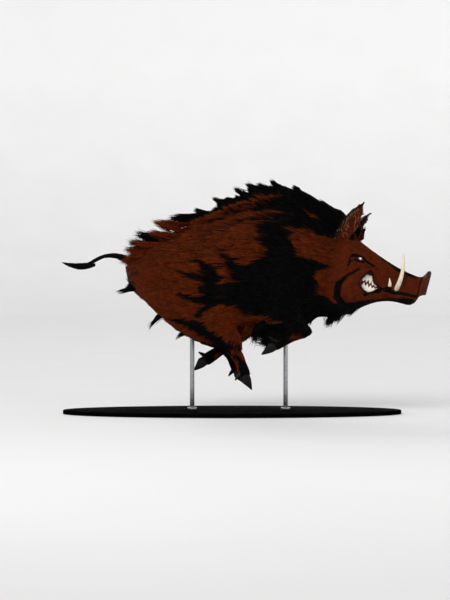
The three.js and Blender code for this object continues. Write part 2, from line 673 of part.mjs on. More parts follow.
function standBase() {
  const edge = 3;
  const outline = new THREE.Shape();
  outline.absellipse(0, 0, BASE_LENGTH / 2 - edge, BASE_WIDTH / 2 - edge, 0, 2 * Math.PI);
  const slab = new THREE.ExtrudeGeometry(outline, {
    depth: BASE_THICKNESS - 2 * edge,
    bevelThickness: edge,
    bevelSize: edge,
    bevelSegments: 1,
    curveSegments: 20,
  });
  return geometryOf(solidOf(slab.translate(0, 0, edge)));
}

// The animal's body below its head, modelled at its natural height and moved by LIFT as a whole.
function bodyGroup(head) {
  const group = new THREE.Group();
  group.position.z = LIFT;
  const bore = (x) => standRod(x, GAP).translate(0, 0, -LIFT);
  const bores = Object.values(ROD_PLACES).map(bore);
  const legSweep = { ...UPPER_SWEEP, grow: GAP };
  const legsGrown = Object.values(UPPER_LEGS).map((sections) => sweep(sections, legSweep));
  const [trunkSpan, neckSpan] = [[0, NECK_CUT], [NECK_CUT + CUT_SHARE, HEAD_END]];
  const trunkGrown = bodySweep(...trunkSpan, GAP);
  const neckGrown = bodySweep(...neckSpan, GAP);
  head.updateMatrix();
  const fromHead = (geometry) => geometry.applyMatrix4(head.matrix).translate(0, 0, -LIFT);
  const headGrown = fromHead(headSweep(GAP));

  group.add(node("trunk", cutBy(bodySweep(...trunkSpan), ...legsGrown, ...bores), COAT_BROWN));
  group.add(node("neck", cutBy(bodySweep(...neckSpan), headGrown, ...legsGrown), COAT_BROWN));
  const crest = cutBy(maneGeometry(), trunkGrown, neckGrown, headGrown);
  group.add(node("mane", crest, COAT_BLACK));
  for (const [label, place] of Object.entries(EARS)) {
    group.add(node(`ear_${label}`, cutBy(fromHead(earInHead(place)), headGrown, neckGrown), COAT_BROWN));
  }

  for (const [leg, sections] of Object.entries(UPPER_LEGS)) {
    const upper = sweep(sections, UPPER_SWEEP);
    const upperGrown = sweep(sections, { ...UPPER_SWEEP, grow: GAP });
    const lowerGrown = sweep(LOWER_LEGS[leg], { ...LOWER_SWEEP, grow: GAP });
    const lower = cutBy(sweep(LOWER_LEGS[leg], LOWER_SWEEP), upperGrown);
    group.add(node(`${leg}_upper`, upper, COAT_BROWN), node(`${leg}_lower`, lower, COAT_BLACK));
    group.add(mainClaws(leg, footOf(LOWER_LEGS[leg])), ...dewclaws(leg, LOWER_LEGS[leg], lowerGrown));
  }

  const tailSweep = (grow) => sweep(limb(TAIL_LINE), { sides: 8, steps: 1.3, grow });
  group.add(node("tail", cutBy(tailSweep(0), trunkGrown), COAT_BLACK));
  const tuft = sweep(limb(TUFT_LINE), { sides: 8, steps: 1.2 });
  group.add(node("tail_tuft", cutBy(tuft, tailSweep(GAP)), COAT_BLACK));
  return group;
}

function build() {
  const boar = new THREE.Group();
  const head = headGroup();
  boar.add(head, bodyGroup(head));
  boar.add(node("stand_base", standBase(), STAND_LACQUER));
  for (const [label, x] of Object.entries(ROD_PLACES)) {
    boar.add(node(`stand_rod_${label}`, standRod(x), STAND_STEEL));
  }
  return boar;
}

export default build();
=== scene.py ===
"""A life-size wild boar at full gallop, held on a plain display stand.

One skin replaces the frame's solids of flesh. A winter coat of solid bristles lies over it, and eyes, teeth,
tusks, hooves and stand are pieces of their own. All lengths are in metres, with +X ahead, +Y to the animal's
left and +Z up.
"""

import heapq
import logging
import math
from collections.abc import Callable
from dataclasses import dataclass, field
from enum import IntEnum
from functools import partial

import bmesh
import bpy
import numpy as np
from bpy.types import Material, Mesh, NodeSocket as Socket, Object
from mathutils import Matrix, Vector
from mathutils.bvhtree import BVHTree
from mathutils.kdtree import KDTree


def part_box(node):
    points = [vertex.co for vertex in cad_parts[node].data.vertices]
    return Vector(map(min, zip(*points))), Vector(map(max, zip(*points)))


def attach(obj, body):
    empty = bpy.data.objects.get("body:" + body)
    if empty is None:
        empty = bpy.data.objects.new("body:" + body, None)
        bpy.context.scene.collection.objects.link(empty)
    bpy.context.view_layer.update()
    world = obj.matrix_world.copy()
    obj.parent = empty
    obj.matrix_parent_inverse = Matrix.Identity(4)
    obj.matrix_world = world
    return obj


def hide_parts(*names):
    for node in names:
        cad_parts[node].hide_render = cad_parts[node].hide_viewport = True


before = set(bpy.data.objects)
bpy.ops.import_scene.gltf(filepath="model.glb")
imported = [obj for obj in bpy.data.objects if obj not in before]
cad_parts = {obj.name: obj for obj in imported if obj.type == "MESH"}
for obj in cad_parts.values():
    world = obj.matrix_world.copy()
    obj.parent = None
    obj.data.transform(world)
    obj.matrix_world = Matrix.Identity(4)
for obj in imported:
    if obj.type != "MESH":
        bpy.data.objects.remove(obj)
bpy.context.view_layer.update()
bpy.ops.object.select_all(action="DESELECT")

Array = np.ndarray
Pair = tuple[float, float]
Triple = tuple[float, float, float]
Line = tuple[Pair, ...]
Tooth = tuple[float, float, float, float]
LOG = logging.getLogger("boar")
BODY = "root"
MERGED = 2e-5  # corners nearer to each other than this are one
SIDES = {"left": 1.0, "right": -1.0}
LEGS = [f"{place}_{side}" for place in ("foreleg", "hindleg") for side in SIDES]
UP = np.array([0.0, 0.0, 1.0])
BAKE_MAP = "OFBake"
PATCH = 0.003  # how much of the skin's unwrap one bristle takes


# ---------------------------------------------------------------- small tools


def linear(colour: int, alpha: float = 1.0) -> tuple[float, ...]:
    """Turns an sRGB hex colour to the linear values that shaders take.

    Args:
        colour: The colour as 0xRRGGBB.
        alpha: The fourth value.

    Returns:
        Linear red, green, blue and alpha.
    """
    parts = [((colour >> shift) & 255) / 255 for shift in (16, 8, 0)]
    turned = [c / 12.92 if c <= 0.04045 else ((c + 0.055) / 1.055) ** 2.4 for c in parts]
    return (*turned, alpha)


def smoothstep(low: float, high: float, value: Array) -> Array:
    """A soft step from 0 at low to 1 at high."""
    share = np.clip((value - low) / (high - low), 0.0, 1.0)
    return share * share * (3 - 2 * share)


def unit(vectors: Array) -> Array:
    """The vectors at length one."""
    return vectors / np.maximum(np.linalg.norm(vectors, axis=-1, keepdims=True), 1e-12)


def new_object(name: str, data: bpy.types.ID) -> Object:
    """Makes an object and links it to the scene.

    Args:
        name: Its name.
        data: Its mesh, light or camera.

    Returns:
        The object.
    """
    ob = bpy.data.objects.new(name, data)
    bpy.context.scene.collection.objects.link(ob)
    return ob


def active_only(ob: Object) -> None:
    """Makes an object the only one that operators act on.

    Args:
        ob: The object.
    """
    bpy.ops.object.select_all(action="DESELECT")
    ob.select_set(True)
    bpy.context.view_layer.objects.active = ob


def edit_whole(ob: Object, *steps: Callable[[], object]) -> None:
    """Runs steps in edit mode, with all of an object's mesh selected.

    Args:
        ob: The object.
        *steps: The operators or functions to call.
    """
    active_only(ob)
    bpy.ops.object.mode_set(mode="EDIT")
    bpy.ops.mesh.select_all(action="SELECT")
    for step in steps:
        step()
    bpy.ops.object.mode_set(mode="OBJECT")


def apply_modifier(ob: Object, kind: str, **settings: object) -> None:
    """Adds a modifier to an object and applies it.

    Args:
        ob: The object.
        kind: The modifier's type.
        **settings: The modifier's properties.
    """
    active_only(ob)
    modifier = ob.modifiers.new(kind.title(), kind)
    for key, value in settings.items():
        setattr(modifier, key, value)
    bpy.ops.object.modifier_apply(modifier=modifier.name)


def copy_of_node(node: str, name: str) -> Object:
    """A copy of a frame node's mesh with its loose corners merged.

    Args:
        node: The frame node's name.
        name: The copy's name.

    Returns:
        The copy.
    """
    ob = new_object(name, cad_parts[node].data.copy())
    ob.data.materials.clear()
    edit_whole(ob, partial(bpy.ops.mesh.remove_doubles, threshold=MERGED))
    return ob


def joined(parts: list[Object], name: str) -> Object:
    """Joins objects into the first of them.

    Args:
        parts: The objects.
        name: The name of the whole.

    Returns:
        The joined object.
    """
    whole = parts[0]
    active_only(whole)
    for ob in parts[1:]:
        ob.select_set(True)
    bpy.ops.object.join()
    whole.name = whole.data.name = name
    return whole


def read(items: bpy.types.bpy_prop_collection, name: str, width: int, kind: type = float) -> Array:
    """Reads a property of many items.

    Args:
        items: The items.
        name: The property's name.
        width: How many values each item has.
        kind: The values' type.

    Returns:
        An array with a row for each item.
    """
    values = np.empty(len(items) * width, kind)
    items.foreach_get(name, values)
    return values.reshape(-1, width)


def coordinates(ob: Object) -> Array:
    """The object's vertices as an array."""
    return read(ob.data.vertices, "co", 3)


def set_coordinates(ob: Object, co: Array) -> None:
    """Moves the object's vertices to the given places."""
    ob.data.vertices.foreach_set("co", co.ravel())
    ob.data.update()


def vertex_normals(ob: Object) -> Array:
    """The object's vertex normals as an array."""
    return read(ob.data.vertex_normals, "vector", 3, np.float32).astype(float)


def set_attribute(mesh: Mesh, name: str, values: Array) -> None:
    """Stores a number for each vertex under a name that materials read."""
    mesh.attributes.new(name, "FLOAT", "POINT").data.foreach_set("value", values.astype(np.float32))


def node_points(node: str) -> Array:
    """A frame node's corners as an array."""
    return coordinates(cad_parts[node])


def node_middle(node: str) -> Array:
    """The middle of a frame node's box."""
    low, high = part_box(node)
    return np.array((low + high) / 2)


def finish_piece(ob: Object, material: Material, slot: str, *replaced: str) -> None:
    """Dresses a piece and places it in the frame.

    Args:
        ob: The piece.
        material: Its finish.
        slot: Not used.
        *replaced: The frame nodes that it stands for.
    """
    ob.data.materials.clear()
    ob.data.materials.append(material)
    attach(ob, BODY)
    if replaced:
        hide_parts(*replaced)
    LOG.info("%s: %d faces", ob.name, len(ob.data.polygons))


def wave_noise(points: Array, seed: int, octaves: int = 3) -> Array:
    """A smooth random field, as a sum of waves in random directions.

    Args:
        points: The places, in units of the field's grain.
        seed: Picks the field.
        octaves: How many grains, each half the last.

    Returns:
        Values from about -1 to 1.
    """
    rng = np.random.default_rng(seed)
    total = np.zeros(len(points))
    for octave in range(octaves):
        for _ in range(6):
            way = unit(rng.normal(size=3)) * 2.4 * 2**octave * rng.uniform(0.7, 1.3)
            total += 0.5**octave * np.sin(points @ way + rng.uniform(0, 2 * math.pi))
    return total / 4.2


def distance_to_line(points: Array, line: Line) -> tuple[Array, Array]:
    """How far points lie from a broken line.

    Args:
        points: The points.
        line: The line's corners.

    Returns:
        The distances, and how far along the line the nearest place is, from 0 to 1.
    """
    nearest = np.full(len(points), np.inf)
    along = np.zeros(len(points))
    corners = [np.array(corner, float) for corner in line]
    for i, (start, end) in enumerate(zip(corners, corners[1:])):
        way = end - start
        share = np.clip((points - start) @ way / (way @ way), 0.0, 1.0)
        away = np.linalg.norm(points - start - share[:, None] * way, axis=1)
        closer = away < nearest
        nearest = np.where(closer, away, nearest)
        along = np.where(closer, (i + share) / (len(corners) - 1), along)
    return nearest, along


# ---------------------------------------------------------------- the head's own axes


class HeadFrame:
    """The head's own axes, worked out from the frame's eyes: x ahead, y to its left and z up."""

    FALL = math.radians(15)  # nose down
    EYE = np.array([0.140, 0.084, 0.054])

    def __init__(self) -> None:
        """Works the axes out."""
        left, right = node_middle("eye_left"), node_middle("eye_right")
        side = unit(left - right)
        level = np.cross(side, UP)
        ahead = level * math.cos(self.FALL) - UP * math.sin(self.FALL)
        up = level * math.sin(self.FALL) + UP * math.cos(self.FALL)
        self.axes = np.array([ahead, side, up])
        self.origin = (left + right) / 2 - ahead * self.EYE[0] - up * self.EYE[2]

    def inside(self, points: Array) -> Array:
        """World points in the head's axes."""
        return (points - self.origin) @ self.axes.T

    def outside(self, points: Array) -> Array:
        """The head's points in the world's axes."""
        return points @ self.axes + self.origin


# ---------------------------------------------------------------- finishes


RGBA = {"data_type": "RGBA"}  # a mix of colours
MIDDLE = {"From Min": 0.3, "From Max": 0.7}  # the range that a noise mostly keeps to


class Finish:
    """A material's node tree, started with its one shader and the piece's own coordinates."""

    def __init__(self, name: str, **sockets: object) -> None:
        """Starts the material.

        Args:
            name: The material's name.
            **sockets: Values of the shader's own sockets, with underscores for spaces.
        """
        self.material = bpy.data.materials.new(name)
        self.material.use_nodes = True
        self.tree = self.material.node_tree
        self.shader = next(node for node in self.tree.nodes if node.type == "BSDF_PRINCIPLED")
        for key, value in sockets.items():
            self.shader.inputs[key.replace("_", " ")].default_value = value
        self.own = self.add("TexCoord", {}, "Object")

    def add(self, kind: str, settings: dict, output: int | str = 0) -> Socket:
        """Adds a shader node with its settings and links.

        Args:
            kind: The node's type, less the words that every type starts with.
            settings: By input name, input place or property, a value to set or an output socket to link.
            output: The output that is wanted.

        Returns:
            That output's socket.
        """
        node = self.tree.nodes.new(f"ShaderNode{kind}")
        for key, value in settings.items():
            if isinstance(value, Socket):
                self.tree.links.new(value, node.inputs[key])
            elif isinstance(key, int) or key in node.inputs:
                node.inputs[key].default_value = value
            else:
                setattr(node, key, value)
        return node.outputs[output]

    def feed(self, **values: Socket) -> None:
        """Links values to the shader's sockets, named with underscores for spaces."""
        for key, value in values.items():
            self.tree.links.new(value, self.shader.inputs[key.replace("_", " ")])


@dataclass(frozen=True)
class CoatColours:
    """The pigments of a boar's winter coat and bare skin."""

    chestnut: int = 0x662206
    chestnut_deep: int = 0x300F01
    tip_tan: int = 0x8A4616
    black: int = 0x020202
    black_warm: int = 0x090504
    cream: int = 0xB98E68
    nose: int = 0x4A2414
    lip: int = 0x160C0A
    gum: int = 0x6A2422

    def coat(self, finish: Finish, tone: Socket, along: Socket | float) -> Socket:
        """The coat's colour from its stored darkness, for the bristles and for the short hair on the skin.

        Args:
            finish: The finish that takes the colour.
            tone: A value from 0 to 1 that tells one hair from the next.
            along: A value from 0 at a hair's root to 1 at its tip.

        Returns:
            The colour's socket.
        """
        add = finish.add
        dark, pale = (add("Attribute", {"attribute_name": name}, "Fac") for name in ("dark", "pale"))
        brown = add("Mix", {**RGBA, 0: tone, 6: linear(self.chestnut_deep), 7: linear(self.chestnut)}, 2)
        outer = add("MapRange", {"Value": along, "From Min": 0.55})
        bleached = add("Math", {"operation": "MULTIPLY", 0: outer, 1: 0.35})
        tipped = add("Mix", {**RGBA, 0: bleached, 6: brown, 7: linear(self.tip_tan)}, 2)
        warm = add("MapRange", {"Value": tone, "From Min": 0.35})
        black = add("Mix", {**RGBA, 0: warm, 6: linear(self.black), 7: linear(self.black_warm)}, 2)
        # Black where the stored darkness is, real markings and painted shade alike.
        marked = add("MapRange", {"Value": dark, **MIDDLE})
        coat = add("Mix", {**RGBA, 0: marked, 6: tipped, 7: black}, 2)
        return add("Mix", {**RGBA, 0: pale, 6: coat, 7: linear(self.cream)}, 2)


@dataclass(frozen=True)
class BristleFinish:
    """Boar bristle: keratin hair, grown. Stiff round hairs, softly glossy along them, with paler split tips.

    Attributes:
        colours: The pigments.
        roughness: How dull a hair is.
        ior: Keratin's index of refraction.
        gloss: How strongly the coat mirrors, which dirt and age dull.
        grain: The size of the coat's lighter and darker clouds.
    """

    colours: CoatColours
    roughness: float = 0.55
    ior: float = 1.55
    gloss: float = 0.05
    grain: float = 0.012

    def material(self) -> Material:
        """Builds the material, which reads each bristle's darkness, paleness and tone.

        Returns:
            The material.
        """
        name = "winter_bristle_grown_keratin"
        finish = Finish(name, Roughness=self.roughness, IOR=self.ior, Specular_IOR_Level=self.gloss)
        add = finish.add
        own_tone, along = (add("Attribute", {"attribute_name": name}, "Fac") for name in ("tone", "along"))
        grain = add("TexNoise", {"Vector": finish.own, "Scale": 1 / self.grain})
        cloud = add("MapRange", {"Value": grain, **MIDDLE, "To Min": -0.15, "To Max": 0.15})
        tone = add("Math", {"operation": "ADD", 0: own_tone, 1: cloud})
        finish.feed(Base_Color=self.colours.coat(finish, tone, along))
        return finish.material


@dataclass(frozen=True)
class HideFinish:
    """Hide with short flat hair: pigmented skin, grown. Dull and finely streaked, and bare, creased and moist
    on the nose disc, the lips and the gums.

    Attributes:
        colours: The pigments.
        head: The head's axes, along which the short hair's streaks run.
        hair: A drawn hair's length and width. Real ones are 0.3 mm wide, too fine to show.
        crease: How far apart the bare skin's creases lie.
        relief: How high the short hair stands.
    """

    colours: CoatColours
    head: HeadFrame
    ior: float = 1.45
    gloss: float = 0.08
    hair: Pair = (0.014, 0.002)
    crease: float = 0.0032
    relief: float = 0.0016

    def material(self) -> Material:
        """Builds the material, which reads where the skin is dark, bare or gum.

        Returns:
            The material.
        """
        finish = Finish("short_haired_hide_grown_skin", IOR=self.ior, Specular_IOR_Level=self.gloss)
        add = finish.add
        stored = [add("Attribute", {"attribute_name": name}, "Fac") for name in ("bare", "gum", "dark")]
        bare, gum, dark = stored
        yaw = math.atan2(self.head.axes[0][1], self.head.axes[0][0])
        length, width = self.hair
        level = add("Mapping", {"Rotation": (0, -HeadFrame.FALL, -yaw), "Vector": finish.own})
        along = add("Mapping", {"Scale": (1 / length, 1 / width, 1 / width), "Vector": level})
        hair = add("TexNoise", {"Vector": along, "Scale": 1.0, "Detail": 3.0})
        tone = add("MapRange", {"Value": hair, **MIDDLE, "To Min": 0.1, "To Max": 0.9})
        coat = self.colours.coat(finish, tone, 0.0)
        cells = {"feature": "DISTANCE_TO_EDGE", "Scale": 1 / self.crease, "Vector": finish.own}
        pores = add("TexVoronoi", cells, "Distance")
        lip, nose, red = map(linear, (self.colours.lip, self.colours.nose, self.colours.gum))
        # The bare skin takes the lip's dark colour along its creases as painted shade, and the nose's colour
        # on the swells between them.
        swells = add("MapRange", {"Value": pores, "From Max": 0.12})
        leather = add("Mix", {**RGBA, 0: swells, 6: lip, 7: nose}, 2)
        marked = add("MapRange", {"Value": dark, **MIDDLE})
        lips = add("Mix", {**RGBA, 0: marked, 6: leather, 7: lip}, 2)
        skin = add("Mix", {**RGBA, 0: bare, 6: coat, 7: lips}, 2)
        wet = add("Math", {"operation": "MAXIMUM", 0: bare, 1: gum})
        dry = add("MapRange", {"Value": wet, "To Min": 1.0, "To Max": 0.0})
        short = add("Math", {"operation": "MULTIPLY", 0: hair, 1: dry})
        deep = add("MapRange", {"Value": bare, "To Max": 0.35})
        lines = add("MapRange", {"Value": pores, "From Max": 0.15})
        creases = add("Math", {"operation": "MULTIPLY", 0: lines, 1: deep})
        relief = add("Math", {"operation": "ADD", 0: short, 1: creases})
        finish.feed(
            Base_Color=add("Mix", {**RGBA, 0: gum, 6: skin, 7: red}, 2),
            Roughness=add("MapRange", {"Value": wet, "To Min": 0.62, "To Max": 0.3}),
            Normal=add("Bump", {"Height": relief, "Distance": self.relief, "Strength": 0.7}),
        )
        return finish.material


@dataclass(frozen=True)
class EyeFinish:
    """Glass eye of a mount: blown glass over a painted iris. Wet-looking, with one sharp highlight.

    Attributes:
        soft: Half the width of the painted rings' soft edges.
        fibre: The grain of the iris.
    """

    pupil_radius: float = 0.0024
    iris_radius: float = 0.0056
    soft: float = 0.0006
    fibre: float = 0.0016
    pupil: int = 0x050403
    iris: int = 0x6A3A10
    iris_edge: int = 0x1A0C05
    white: int = 0xE6E2DA
    ior: float = 1.5

    def material(self) -> Material:
        """Builds the material, which reads each point's distance from the pupil's middle.

        Returns:
            The material.
        """
        finish = Finish("blown_glass_eye", Roughness=0.12, IOR=self.ior, Coat_Weight=1.0, Coat_Roughness=0.02)
        add = finish.add
        away = add("Attribute", {"attribute_name": "from_pupil"}, "Fac")
        fibres = add("TexNoise", {"Vector": finish.own, "Scale": 1 / self.fibre, "Detail": 3.0})
        streaks = add("MapRange", {"Value": fibres, "From Min": 0.35, "From Max": 0.65})
        colour = add("Mix", {**RGBA, 0: streaks, 6: linear(self.iris_edge), 7: linear(self.iris)}, 2)
        rings = (
            (0.78 * self.iris_radius, self.iris_radius, self.iris_edge),
            (self.iris_radius - self.soft, self.iris_radius + self.soft, self.white),
        )
        for start, end, beyond in rings:
            share = add("MapRange", {"Value": away, "From Min": start, "From Max": end})
            colour = add("Mix", {**RGBA, 0: share, 6: colour, 7: linear(beyond)}, 2)
        start, end = self.pupil_radius - self.soft, self.pupil_radius + self.soft
        hole = add("MapRange", {"Value": away, "From Min": start, "From Max": end})
        finish.feed(Base_Color=add("Mix", {**RGBA, 0: hole, 6: linear(self.pupil), 7: colour}, 2))
        return finish.material


@dataclass(frozen=True)
class IvoryFinish:
    """Tusk and tooth, grown: hard, glossy and cream, with faint lines along it, and darker and browner
    towards the root.

    Attributes:
        line_spacing: How far apart the lines lie.
        patch: The size of the root tint's clouds.
    """

    name: str
    cream: int = 0xEFE7D4
    root_tint: int = 0x7A5630
    line: int = 0xDDD0B2
    ior: float = 1.54
    line_spacing: float = 0.003
    patch: float = 0.02

    def material(self) -> Material:
        """Builds the material, which reads the share of the length from each point's root.

        Returns:
            The material.
        """
        finish = Finish(self.name, Roughness=0.28, IOR=self.ior, Coat_Weight=0.3, Coat_Roughness=0.15)
        add = finish.add
        along = add("Attribute", {"attribute_name": "along"}, "Fac")
        drawn = add("Mapping", {"Scale": (1.0, 1.0, 0.08), "Vector": finish.own})
        lines = add("TexNoise", {"Vector": drawn, "Scale": 1 / self.line_spacing})
        between = add("MapRange", {"Value": lines, "From Min": 0.4, "From Max": 0.65})
        cream = add("Mix", {**RGBA, 0: between, 6: linear(self.line), 7: linear(self.cream)}, 2)
        patches = add("TexNoise", {"Vector": finish.own, "Scale": 1 / self.patch})
        cloudy = add("MapRange", {"Value": patches, **MIDDLE, "To Min": -0.2, "To Max": 0.2})
        # Darker and browner towards the root, in clouds.
        rooted = add("MapRange", {"Value": along, "From Max": 0.55, "To Min": 0.75, "To Max": -0.1})
        tinted = add("MapRange", {"Value": add("Math", {"operation": "ADD", 0: rooted, 1: cloudy})})
        finish.feed(
            Base_Color=add("Mix", {**RGBA, 0: tinted, 6: cream, 7: linear(self.root_tint)}, 2),
            Normal=add("Bump", {"Height": lines, "Distance": 0.0002, "Strength": 0.4}),
        )
        return finish.material


@dataclass(frozen=True)
class HornFinish:
    """Hoof horn: keratin, grown and worn. Black and half glossy, ringed across, and greyer where the ground
    rubs it."""

    horn: int = 0x030303
    ring: int = 0x090706
    worn: int = 0x191411
    ior: float = 1.55
    gloss: float = 0.12
    ring_spacing: float = 0.006
    wear_size: float = 0.03

    def material(self) -> Material:
        """Builds the material.

        Returns:
            The material.
        """
        finish = Finish("hoof_horn_grown_keratin", IOR=self.ior, Specular_IOR_Level=self.gloss)
        add = finish.add
        flat = add("Mapping", {"Scale": (1.0, 0.25, 1.0), "Vector": finish.own})
        rings = add("TexNoise", {"Vector": flat, "Scale": 1 / self.ring_spacing, "Detail": 3.0})
        wear = add("TexNoise", {"Vector": finish.own, "Scale": 1 / self.wear_size, "Detail": 4.0})
        ringed = add("MapRange", {"Value": rings, "From Min": 0.35, "From Max": 0.7})
        horn = add("Mix", {**RGBA, 0: ringed, 6: linear(self.horn), 7: linear(self.ring)}, 2)
        rubbed = add("MapRange", {"Value": wear, "From Min": 0.58, "From Max": 0.80})
        dull = {"Value": wear, "From Min": 0.4, "From Max": 0.7, "To Min": 0.32, "To Max": 0.6}
        finish.feed(
            Base_Color=add("Mix", {**RGBA, 0: rubbed, 6: horn, 7: linear(self.worn)}, 2),
            Roughness=add("MapRange", dull),
            Normal=add("Bump", {"Height": rings, "Distance": 0.0008, "Strength": 0.7}),
        )
        return finish.material


@dataclass(frozen=True)
class LacquerFinish:
    """Painted board: dead-matt black lacquer, sprayed. Even, with faint orange peel and a little dust."""

    black: int = 0x020203
    dusty: int = 0x09090A
    ior: float = 1.5
    gloss: float = 0.004
    peel_size: float = 0.0025
    dust_size: float = 0.08

    def material(self) -> Material:
        """Builds the material.

        Returns:
            The material.
        """
        finish = Finish("black_matt_lacquer_sprayed", IOR=self.ior, Specular_IOR_Level=self.gloss)
        add = finish.add
        peel = add("TexNoise", {"Vector": finish.own, "Scale": 1 / self.peel_size})
        dust = add("TexNoise", {"Vector": finish.own, "Scale": 1 / self.dust_size, "Detail": 5.0})
        lying = add("MapRange", {"Value": dust, "From Min": 0.45, "From Max": 0.8})
        dull = {"Value": dust, "From Min": 0.35, "From Max": 0.75, "To Min": 0.75, "To Max": 0.9}
        finish.feed(
            Base_Color=add("Mix", {**RGBA, 0: lying, 6: linear(self.black), 7: linear(self.dusty)}, 2),
            Roughness=add("MapRange", dull),
            Normal=add("Bump", {"Height": peel, "Distance": 0.0001, "Strength": 0.4}),
        )
        return finish.material


@dataclass(frozen=True)
class SteelFinish:
    """Stainless steel: turned and brushed round the rod. Grey and bright, with fine rings that blur what it
    mirrors.

    Attributes:
        mark_spacing: How far apart the brush marks are drawn. Real ones are 0.1 mm apart, too fine to show.
    """

    steel: int = 0x85878A
    bright: int = 0xB4B6B9
    mark_spacing: float = 0.0008

    def material(self) -> Material:
        """Builds the material.

        Returns:
            The material.
        """
        finish = Finish("brushed_stainless_steel", Metallic=1.0)
        add = finish.add
        round_rod = add("Mapping", {"Scale": (0.05, 0.05, 1.0), "Vector": finish.own})
        marks = add("TexNoise", {"Vector": round_rod, "Scale": 1 / self.mark_spacing})
        share = {"Value": marks, **MIDDLE}
        bright = add("MapRange", share)
        finish.feed(
            Base_Color=add("Mix", {**RGBA, 0: bright, 6: linear(self.steel), 7: linear(self.bright)}, 2),
            Roughness=add("MapRange", {**share, "To Min": 0.24, "To Max": 0.4}),
            Normal=add("Bump", {"Height": marks, "Distance": 0.00005, "Strength": 0.5}),
        )
        return finish.material


@dataclass(frozen=True)
class FloorFinish:
    """Studio backdrop: matt painted board. Pale, dull and faintly cloudy, and paler where it sweeps up."""

    low: int = 0xE9E8E7
    high: int = 0xFAFAF9
    risen: float = 4.0
    roughness: float = 0.9

    def material(self) -> Material:
        """Builds the material.

        Returns:
            The material.
        """
        finish = Finish("matt_floor_paint", Roughness=self.roughness)
        add = finish.add
        height = add("SeparateXYZ", {"Vector": finish.own}, "Z")
        noise = add("TexNoise", {"Vector": finish.own, "Scale": 1.5})
        cloud = add("MapRange", {"Value": noise, **MIDDLE, "To Min": -0.08, "To Max": 0.08})
        upper = add("MapRange", {"Value": height, "From Max": self.risen})
        paleness = add("MapRange", {"Value": add("Math", {"operation": "ADD", 0: upper, 1: cloud})})
        paint = add("Mix", {**RGBA, 0: paleness, 6: linear(self.low), 7: linear(self.high)}, 2)
        finish.feed(Base_Color=paint)
        return finish.material


# ---------------------------------------------------------------- the skin


class Part(IntEnum):
    """The kinds of flesh, by how their hair grows."""

    TRUNK = 0
    NECK = 1
    MANE = 2
    HEAD = 3
    JAW = 4
    SNOUT = 5
    EAR = 6
    UPPER_LEG = 7
    LOWER_LEG = 8
    TAIL = 9


FLESH: dict[Part, tuple[str, ...]] = {
    Part.TRUNK: ("trunk",),
    Part.NECK: ("neck",),
    Part.MANE: ("mane",),
    Part.HEAD: ("head",),
    Part.JAW: ("lower_jaw",),
    Part.SNOUT: ("snout",),
    Part.EAR: ("ear_left", "ear_right"),
    Part.UPPER_LEG: tuple(f"{leg}_upper" for leg in LEGS),
    Part.LOWER_LEG: tuple(f"{leg}_lower" for leg in LEGS),
    Part.TAIL: ("tail",),
}


@dataclass(frozen=True)
class Hair:
    """How a part's hair grows.

    Attributes:
        depth: How far the skin lies under the frame's outline.
        length: A bristle's length.
        width: A bristle's width at its root.
        stand: How high its tip stands over the skin.
        density: Bristles for each square metre.
        gather: How far a bristle's tip is drawn to its lock's.
    """

    depth: float
    length: float
    width: float
    stand: float
    density: float
    gather: float


HAIR: dict[Part, Hair] = {
    Part.TRUNK: Hair(0.015, 0.088, 0.0044, 0.0120, 21000, 0.62),
    Part.NECK: Hair(0.013, 0.072, 0.0042, 0.0115, 22000, 0.60),
    Part.MANE: Hair(0.016, 0.080, 0.0042, 0.0300, 60000, 0.60),
    Part.HEAD: Hair(0.0025, 0.017, 0.0017, 0.0022, 46000, 0.10),
    Part.JAW: Hair(0.003, 0.019, 0.0018, 0.0026, 40000, 0.10),
    Part.SNOUT: Hair(0.0, 0.006, 0.0012, 0.0008, 0, 0.0),
    Part.EAR: Hair(0.0005, 0.016, 0.0016, 0.0016, 40000, 0.10),
    Part.UPPER_LEG: Hair(0.009, 0.056, 0.0038, 0.0080, 25000, 0.50),
    Part.LOWER_LEG: Hair(0.0025, 0.024, 0.0022, 0.0024, 52000, 0.15),
    Part.TAIL: Hair(0.002, 0.034, 0.0024, 0.0030, 40000, 0.30),
}


@dataclass(frozen=True)
class Fold:
    """A ridge or crease on each side of the head.

    Attributes:
        line: Its corners in the head's side view, ahead and up.
        width: Half its width.
        height: How high it stands, or less than 0 for a crease.
    """

    line: Line
    width: float
    height: float


